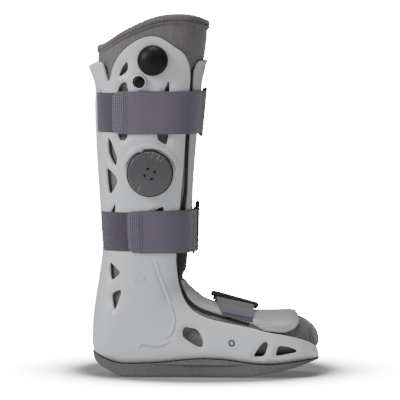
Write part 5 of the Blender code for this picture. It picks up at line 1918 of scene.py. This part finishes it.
class Scatter:
    """Sets copies of a small part on places through Geometry Nodes, and keeps the result as plain mesh."""

    def __init__(self, name: str, part: Thing, material: bpy.types.Material, seed: int) -> None:
        """Start a piece without places.

        Args:
            name: name of the piece.
            part: object that is copied, pointing along +X with +Z outwards; it's removed at the end.
            material: material of all copies.
            seed: seed of the small differences in size.
        """
        self.name = name
        self.part = part
        self.material = material
        self.seed = seed
        self.points: list[Vector] = []
        self.turns: list[tuple[float, float, float]] = []

    def add(self, points: Array, along: Array, out: Array) -> None:
        """Add places, with the direction that each copy points in and the one that it faces."""
        for point, first, last in zip(points, along, out):
            facing = Vector(last).normalized()
            ahead = (Vector(first) - facing * Vector(first).dot(facing)).normalized()
            frame_of = Matrix((ahead, facing.cross(ahead), facing)).transposed()
            self.points.append(Vector(point))
            self.turns.append(tuple(frame_of.to_euler()))

    def add_both(self, points: Array, along: Array, out: Array) -> None:
        """Add places on the outer side, and the same ones on the inner side."""
        for flip in (1.0, -1.0):
            across = np.array([1.0, flip, 1.0])
            self.add(points * across, along * across, out * across)

    def tree(self) -> tuple[bpy.types.NodeTree, dict[str, str]]:
        """Build the node tree.

        Returns:
            The tree, and the identifiers of its inputs by name.
        """
        tree = bpy.data.node_groups.new(self.name + "_nodes", "GeometryNodeTree")
        sockets = {"Places": "NodeSocketGeometry", "Part": "NodeSocketObject",
                   "Material": "NodeSocketMaterial",
                   "Seed": "NodeSocketInt", "Least": "NodeSocketFloat", "Most": "NodeSocketFloat"}
        named = {name: tree.interface.new_socket(name, in_out="INPUT", socket_type=kind).identifier
                 for name, kind in sockets.items()}
        tree.interface.new_socket("Pieces", in_out="OUTPUT", socket_type="NodeSocketGeometry")
        start, end = tree.nodes.new("NodeGroupInput"), tree.nodes.new("NodeGroupOutput")
        part = tree.nodes.new("GeometryNodeObjectInfo")
        part.inputs["As Instance"].default_value = True
        turn = tree.nodes.new("GeometryNodeInputNamedAttribute")
        turn.data_type = "FLOAT_VECTOR"
        turn.inputs["Name"].default_value = "turn"
        spin = tree.nodes.new("FunctionNodeEulerToRotation")
        size = tree.nodes.new("FunctionNodeRandomValue")
        size.data_type = "FLOAT"
        put = tree.nodes.new("GeometryNodeInstanceOnPoints")
        real = tree.nodes.new("GeometryNodeRealizeInstances")
        paint = tree.nodes.new("GeometryNodeSetMaterial")
        link = tree.links.new
        link(start.outputs["Part"], part.inputs["Object"])
        link(start.outputs["Least"], size.inputs[2])
        link(start.outputs["Most"], size.inputs[3])
        link(start.outputs["Seed"], size.inputs["Seed"])
        link(turn.outputs["Attribute"], spin.inputs[0])
        link(start.outputs["Places"], put.inputs["Points"])
        link(part.outputs["Geometry"], put.inputs["Instance"])
        link(spin.outputs[0], put.inputs["Rotation"])
        link(size.outputs[1], put.inputs["Scale"])
        link(put.outputs[0], real.inputs[0])
        link(real.outputs[0], paint.inputs["Geometry"])
        link(start.outputs["Material"], paint.inputs["Material"])
        link(paint.outputs[0], end.inputs[0])
        return tree, named

    def build(self, least: float = 0.94, most: float = 1.06) -> Thing:
        """Make the piece.

        Args:
            least: smallest size of a copy.
            most: largest size.

        Returns:
            All copies as one plain mesh.
        """
        piece = new_object(self.name, mesh_from(self.name, np.array(self.points), []))
        turn = piece.data.attributes.new("turn", "FLOAT_VECTOR", "POINT")
        turn.data.foreach_set("vector", np.array(self.turns).ravel())
        tree, named = self.tree()
        nodes = piece.modifiers.new("copies", "NODES")
        nodes.node_group = tree
        for name, value in (("Part", self.part), ("Material", self.material), ("Seed", self.seed),
                            ("Least", least),
                            ("Most", most)):
            nodes[named[name]] = value
        applied(piece)
        bpy.data.objects.remove(self.part, do_unlink=True)
        return piece


def stitch(length: float, radius: float) -> Thing:
    """One stitch along X, which dips at both ends."""
    xs = np.array([-0.5, -0.36, 0.0, 0.36, 0.5]) * length
    lifts = np.array([-0.9, 0.2, 0.6, 0.2, -0.9]) * radius
    line = np.stack([xs, np.zeros(5), lifts], axis=1)
    return Bar("stitch", line, radius, 6).build()


class Details:
    """Stitches, hooks and rivets."""

    def __init__(self, finishes: Finishes, skin: Skin, chart: Chart, straps: list[LegStrap]) -> None:
        """Keep what the details lie on."""
        self.finishes = finishes
        self.skin = skin
        self.chart = chart
        self.straps = straps

    def laid_on(self, piece: str, points: Array, out: Array) -> Array:
        """Bring points down to the surface of a piece."""
        tree = BVHTree.FromObject(bpy.data.objects[piece], bpy.context.evaluated_depsgraph_get())
        laid = []
        for point, facing in zip(points, out):
            hit = tree.ray_cast(Vector(point + facing * 8 * MM), Vector(-facing), 0.03)[0]
            laid.append(point if hit is None else np.array(hit))
        return np.array(laid)

    def build_binding(self) -> None:
        """Cross stitches along the lower edge of the binding."""
        flat = resampled(Liner.top_line(self.chart, 2.9 * MM), False, 2.9 * MM)
        base, out = self.skin.placed(flat)
        base = self.laid_on("edge_binding", base + np.array([0.0, 0.0, -6.6 * MM]), out)
        run = unit(np.gradient(base, axis=0))
        rise = np.cross(out, run)
        crosses = Scatter("binding_stitches", stitch(3.6 * MM, 0.26 * MM), self.finishes.thread, 3)
        for lean in (1.0, -1.0):
            crosses.add_both(base + out * 0.1 * MM, run + rise * lean, out)
        self.finishes.dress(crosses.build(), Materials.BINDING, "boot")

    def build_toe(self) -> None:
        """Double seam over the toe of the liner."""
        rows = Scatter("toe_stitches", stitch(2.5 * MM, 0.3 * MM), self.finishes.thread, 5)
        for inset in (0.0, 3.2 * MM):
            low, high = side((0.987, 0.088)), side((0.968, 0.141))
            line = np.linspace(low, high, 9) - np.array([inset, 0.0])
            base, out = self.skin.placed(resampled(self.chart.flat(line), False, 3.1 * MM))
            base = self.laid_on("liner_boot", base, out)
            rows.add_both(base, unit(np.gradient(base, axis=0)), out)
        self.finishes.dress(rows.build(), Materials.LINER, "boot")

    def build_straps(self) -> None:
        """Stitches across the folded ends, and the hooks of the tabs."""
        seams = Scatter("strap_stitches", stitch(2.1 * MM, 0.24 * MM), self.finishes.thread, 7)
        hook = Turned("hook", (0.0, 0.0, 0.0),
                      [(0.0, -0.2 * MM), (0.34 * MM, -0.2 * MM), (0.26 * MM, 0.4 * MM),
                                                (0.52 * MM, 0.62 * MM), (0.3 * MM, 0.85 * MM),
                       (0.0, 0.9 * MM)], 6).build()
        hook.data.transform(Matrix.Rotation(-pi / 2, 4, "X"))
        hooks = Scatter("hooks", hook, self.finishes.teeth, 11)
        for strap in self.straps:
            for points, out in strap.seams():
                seams.add(points, np.gradient(points, axis=0), out)
            for points, out in strap.hooks():
                hooks.add(points, np.gradient(points, axis=0), out)
        self.finishes.dress(seams.build(), Materials.WEBBING, "boot")
        self.finishes.dress(hooks.build(1.45, 1.55), Materials.HOOKS, "boot")

    def build_rivets(self) -> None:
        """Rivet heads at the midfoot, each with a groove and a crossed recess."""
        def recess(x: Array, z: Array) -> Array:
            """Crossed recess within the groove."""
            near = np.minimum(np.abs(x), np.abs(z))
            return np.where(np.hypot(x, z) < 2.0 * MM,
                            -0.7 * MM * (1 - smoothstep(0.3 * MM, 0.6 * MM, near)), 0.0)
        rim = [(0.0, -2.4), (4.1, -2.4), (4.1, 0.7), (3.9, 1.0), (3.5, 1.1), (2.6, 0.9), (2.3, 0.3),
               (0.0, 0.3)]
        heart = [(0.0, 0.35), (2.1, 0.35),
                 (2.1, 0.9)] + [(r, 1.1) for r in np.arange(1.9, 0.1, -0.2)] + [(0.0, 0.4)]
        length, girth = self.chart.settled(np.array([side(RIVET_PLACE)])).T
        for name, profile, slot, nodes in (
                ("sole_rivets", rim, Materials.DIAL, ("sole_rivet_outer", "sole_rivet_inner")),
                ("rivet_hearts", heart, Materials.SHELL, ())):
            part = Turned("rivet", (0.0, 0.0, 0.0), [(r * MM, h * MM) for r, h in profile], 64)
            part = part.build(recess if slot is Materials.SHELL else None)
            part.data.transform(Matrix.Rotation(-pi / 2, 4, "X"))
            heads = Scatter(name, part, self.finishes.made[slot], 13)
            for sign in (-1.0, 1.0):
                angle = self.skin.angle(length, sign * girth)
                out = self.skin.normal(length, angle)
                heads.add(self.skin.at_angle(length, angle), np.array([[1.0, 0.0, 0.0]]), out)
            self.finishes.dress(heads.build(1.0, 1.0), slot, "boot", *nodes)

    def build(self) -> None:
        """Make all details."""
        self.build_binding()
        self.build_toe()
        self.build_straps()
        self.build_rivets()


class Studio:
    """Pale floor, soft light and the camera at the photograph's angle."""

    DISTANCE = 6.0
    FIELD = 0.480
    CENTRE = (-0.0054, 0.210)
    FLOOR = 14.0
    PITCH = radians(2.6)
    SKY = 0.27
    WHITE = 24.0
    GLOW = 0.12

    def build(self) -> None:
        """Set the scene up."""
        corners = self.FLOOR * np.array([(-1, -1, 0), (1, -1, 0), (1, 1, 0), (-1, 1, 0)], dtype=float)
        floor = new_object("floor", mesh_from("floor", corners, [(0, 1, 2, 3)]))
        graph = Graph("floor_paper")
        normal = graph.bump(graph.noise(400.0), 0.00002)
        shared = graph.node("Mapping", {"Vector": graph.coordinates, "Location": (0.0, -0.3, 0.0),
                                        "Scale": (5.0, 4.0, 1.0)}).outputs["Vector"]
        away = graph.node("VectorMath", {0: shared}, operation="LENGTH").outputs["Value"]
        # Painted shadow: for camera rays the floor is painted dark grey in an ellipse round the boot, and
        # pale outside it.
        painted_shadow_tone = graph.ramp(graph.math("ADD", away, graph.math("MULTIPLY", graph.noise(3.0), 0.02)),
                          (0.72, (0.14, 0.15, 0.16)), (0.92, (0.91, 0.91, 0.91)))
        # Camera rays see the floor glow little near the boot, as part of the painted shadow, and glow white
        # further out; other rays see a weak even glow.
        paper = graph.node("MapRange", {"Value": away, "From Min": 0.74, "From Max": 1.50,
                                        "To Min": self.GLOW,
                                        "To Max": self.WHITE}, interpolation_type="SMOOTHSTEP").outputs[0]
        seen = graph.node("LightPath").outputs["Is Camera Ray"]
        painted_shadow_tone = graph.mix(seen, (0.91, 0.91, 0.91), painted_shadow_tone)
        glow = graph.node("MapRange", {"Value": seen, "To Min": self.GLOW, "To Max": paper}).outputs[0]
        graph.tree.links.new(glow, graph.shader.inputs["Emission Strength"])
        floor.data.materials.append(graph.finish(painted_shadow_tone, 0.9, normal, Emission_Color=(1.0, 1.0, 1.0, 1.0)))
        world = bpy.data.worlds.new("studio")
        world.use_nodes = True
        world.node_tree.nodes["Background"].inputs["Color"].default_value = (1.0, 1.0, 1.0, 1.0)
        nodes, links = world.node_tree.nodes, world.node_tree.links
        path = nodes.new("ShaderNodeLightPath")
        strength = nodes.new("ShaderNodeMapRange")
        strength.inputs["To Min"].default_value = self.SKY
        strength.inputs["To Max"].default_value = self.WHITE
        links.new(path.outputs["Is Camera Ray"], strength.inputs["Value"])
        links.new(strength.outputs[0], nodes["Background"].inputs["Strength"])
        bpy.context.scene.world = world
        self.light("key", (-1.5, -1.1, 1.2), 0.6, 34.0)
        self.light("fill", (1.2, -1.5, 0.7), 1.0, 2.0)
        self.light("top", (0.0, -0.2, 1.9), 0.8, 18.0)
        camera = bpy.data.cameras.new("camera")
        camera.lens = camera.sensor_width * self.DISTANCE / self.FIELD
        made = bpy.data.objects.new("camera", camera)
        bpy.context.scene.collection.objects.link(made)
        made.location = (self.CENTRE[0], -self.DISTANCE * cos(self.PITCH),
                         self.CENTRE[1] + self.DISTANCE * sin(self.PITCH))
        made.rotation_euler = (pi / 2 - self.PITCH, 0.0, 0.0)
        bpy.context.scene.camera = made

    def light(self, name: str, place: tuple[float, float, float], size: float, power: float) -> None:
        """Add a soft light that faces the boot."""
        data = bpy.data.lights.new(name, "AREA")
        data.energy = power
        data.size = size
        made = bpy.data.objects.new(name, data)
        bpy.context.scene.collection.objects.link(made)
        made.location = place
        aim = Vector((self.CENTRE[0], 0.0, self.CENTRE[1])) - Vector(place)
        made.rotation_euler = aim.to_track_quat("-Z", "Y").to_euler()


def main() -> None:
    """Build every piece."""
    logging.basicConfig(level=logging.INFO)
    finishes = Finishes()
    Studio().build()
    skin = Skin()
    chart = Chart(skin)
    straps = [
        LegStrap("upper", 0.7305, 0.044, 0.159, skin, (-27.6 * MM, 27.6 * MM, 5.2 * MM, 2.1 * MM)),
        LegStrap("middle", 0.402, 0.064, 0.222, skin, (-22.5 * MM, 33.0 * MM, 6.4 * MM, 2.6 * MM)),
    ]
    shell = Shell([strap.slot() for strap in straps]).build()
    finishes.dress(shell, Materials.SHELL, "boot", "rear_shell")
    FrontPlates(skin, chart).build(finishes)
    for strap in straps:
        strap.build(finishes)
    FootStrap(skin).build(finishes)
    Sole().build(finishes)
    Controls(skin, chart).build(finishes)
    cover = [shell, bpy.data.objects["shin_plate"], bpy.data.objects["foot_plate"]]
    Liner(skin, chart).build(finishes, cover)
    Details(finishes, skin, chart, straps).build()


if __name__ == "__main__":
    main()
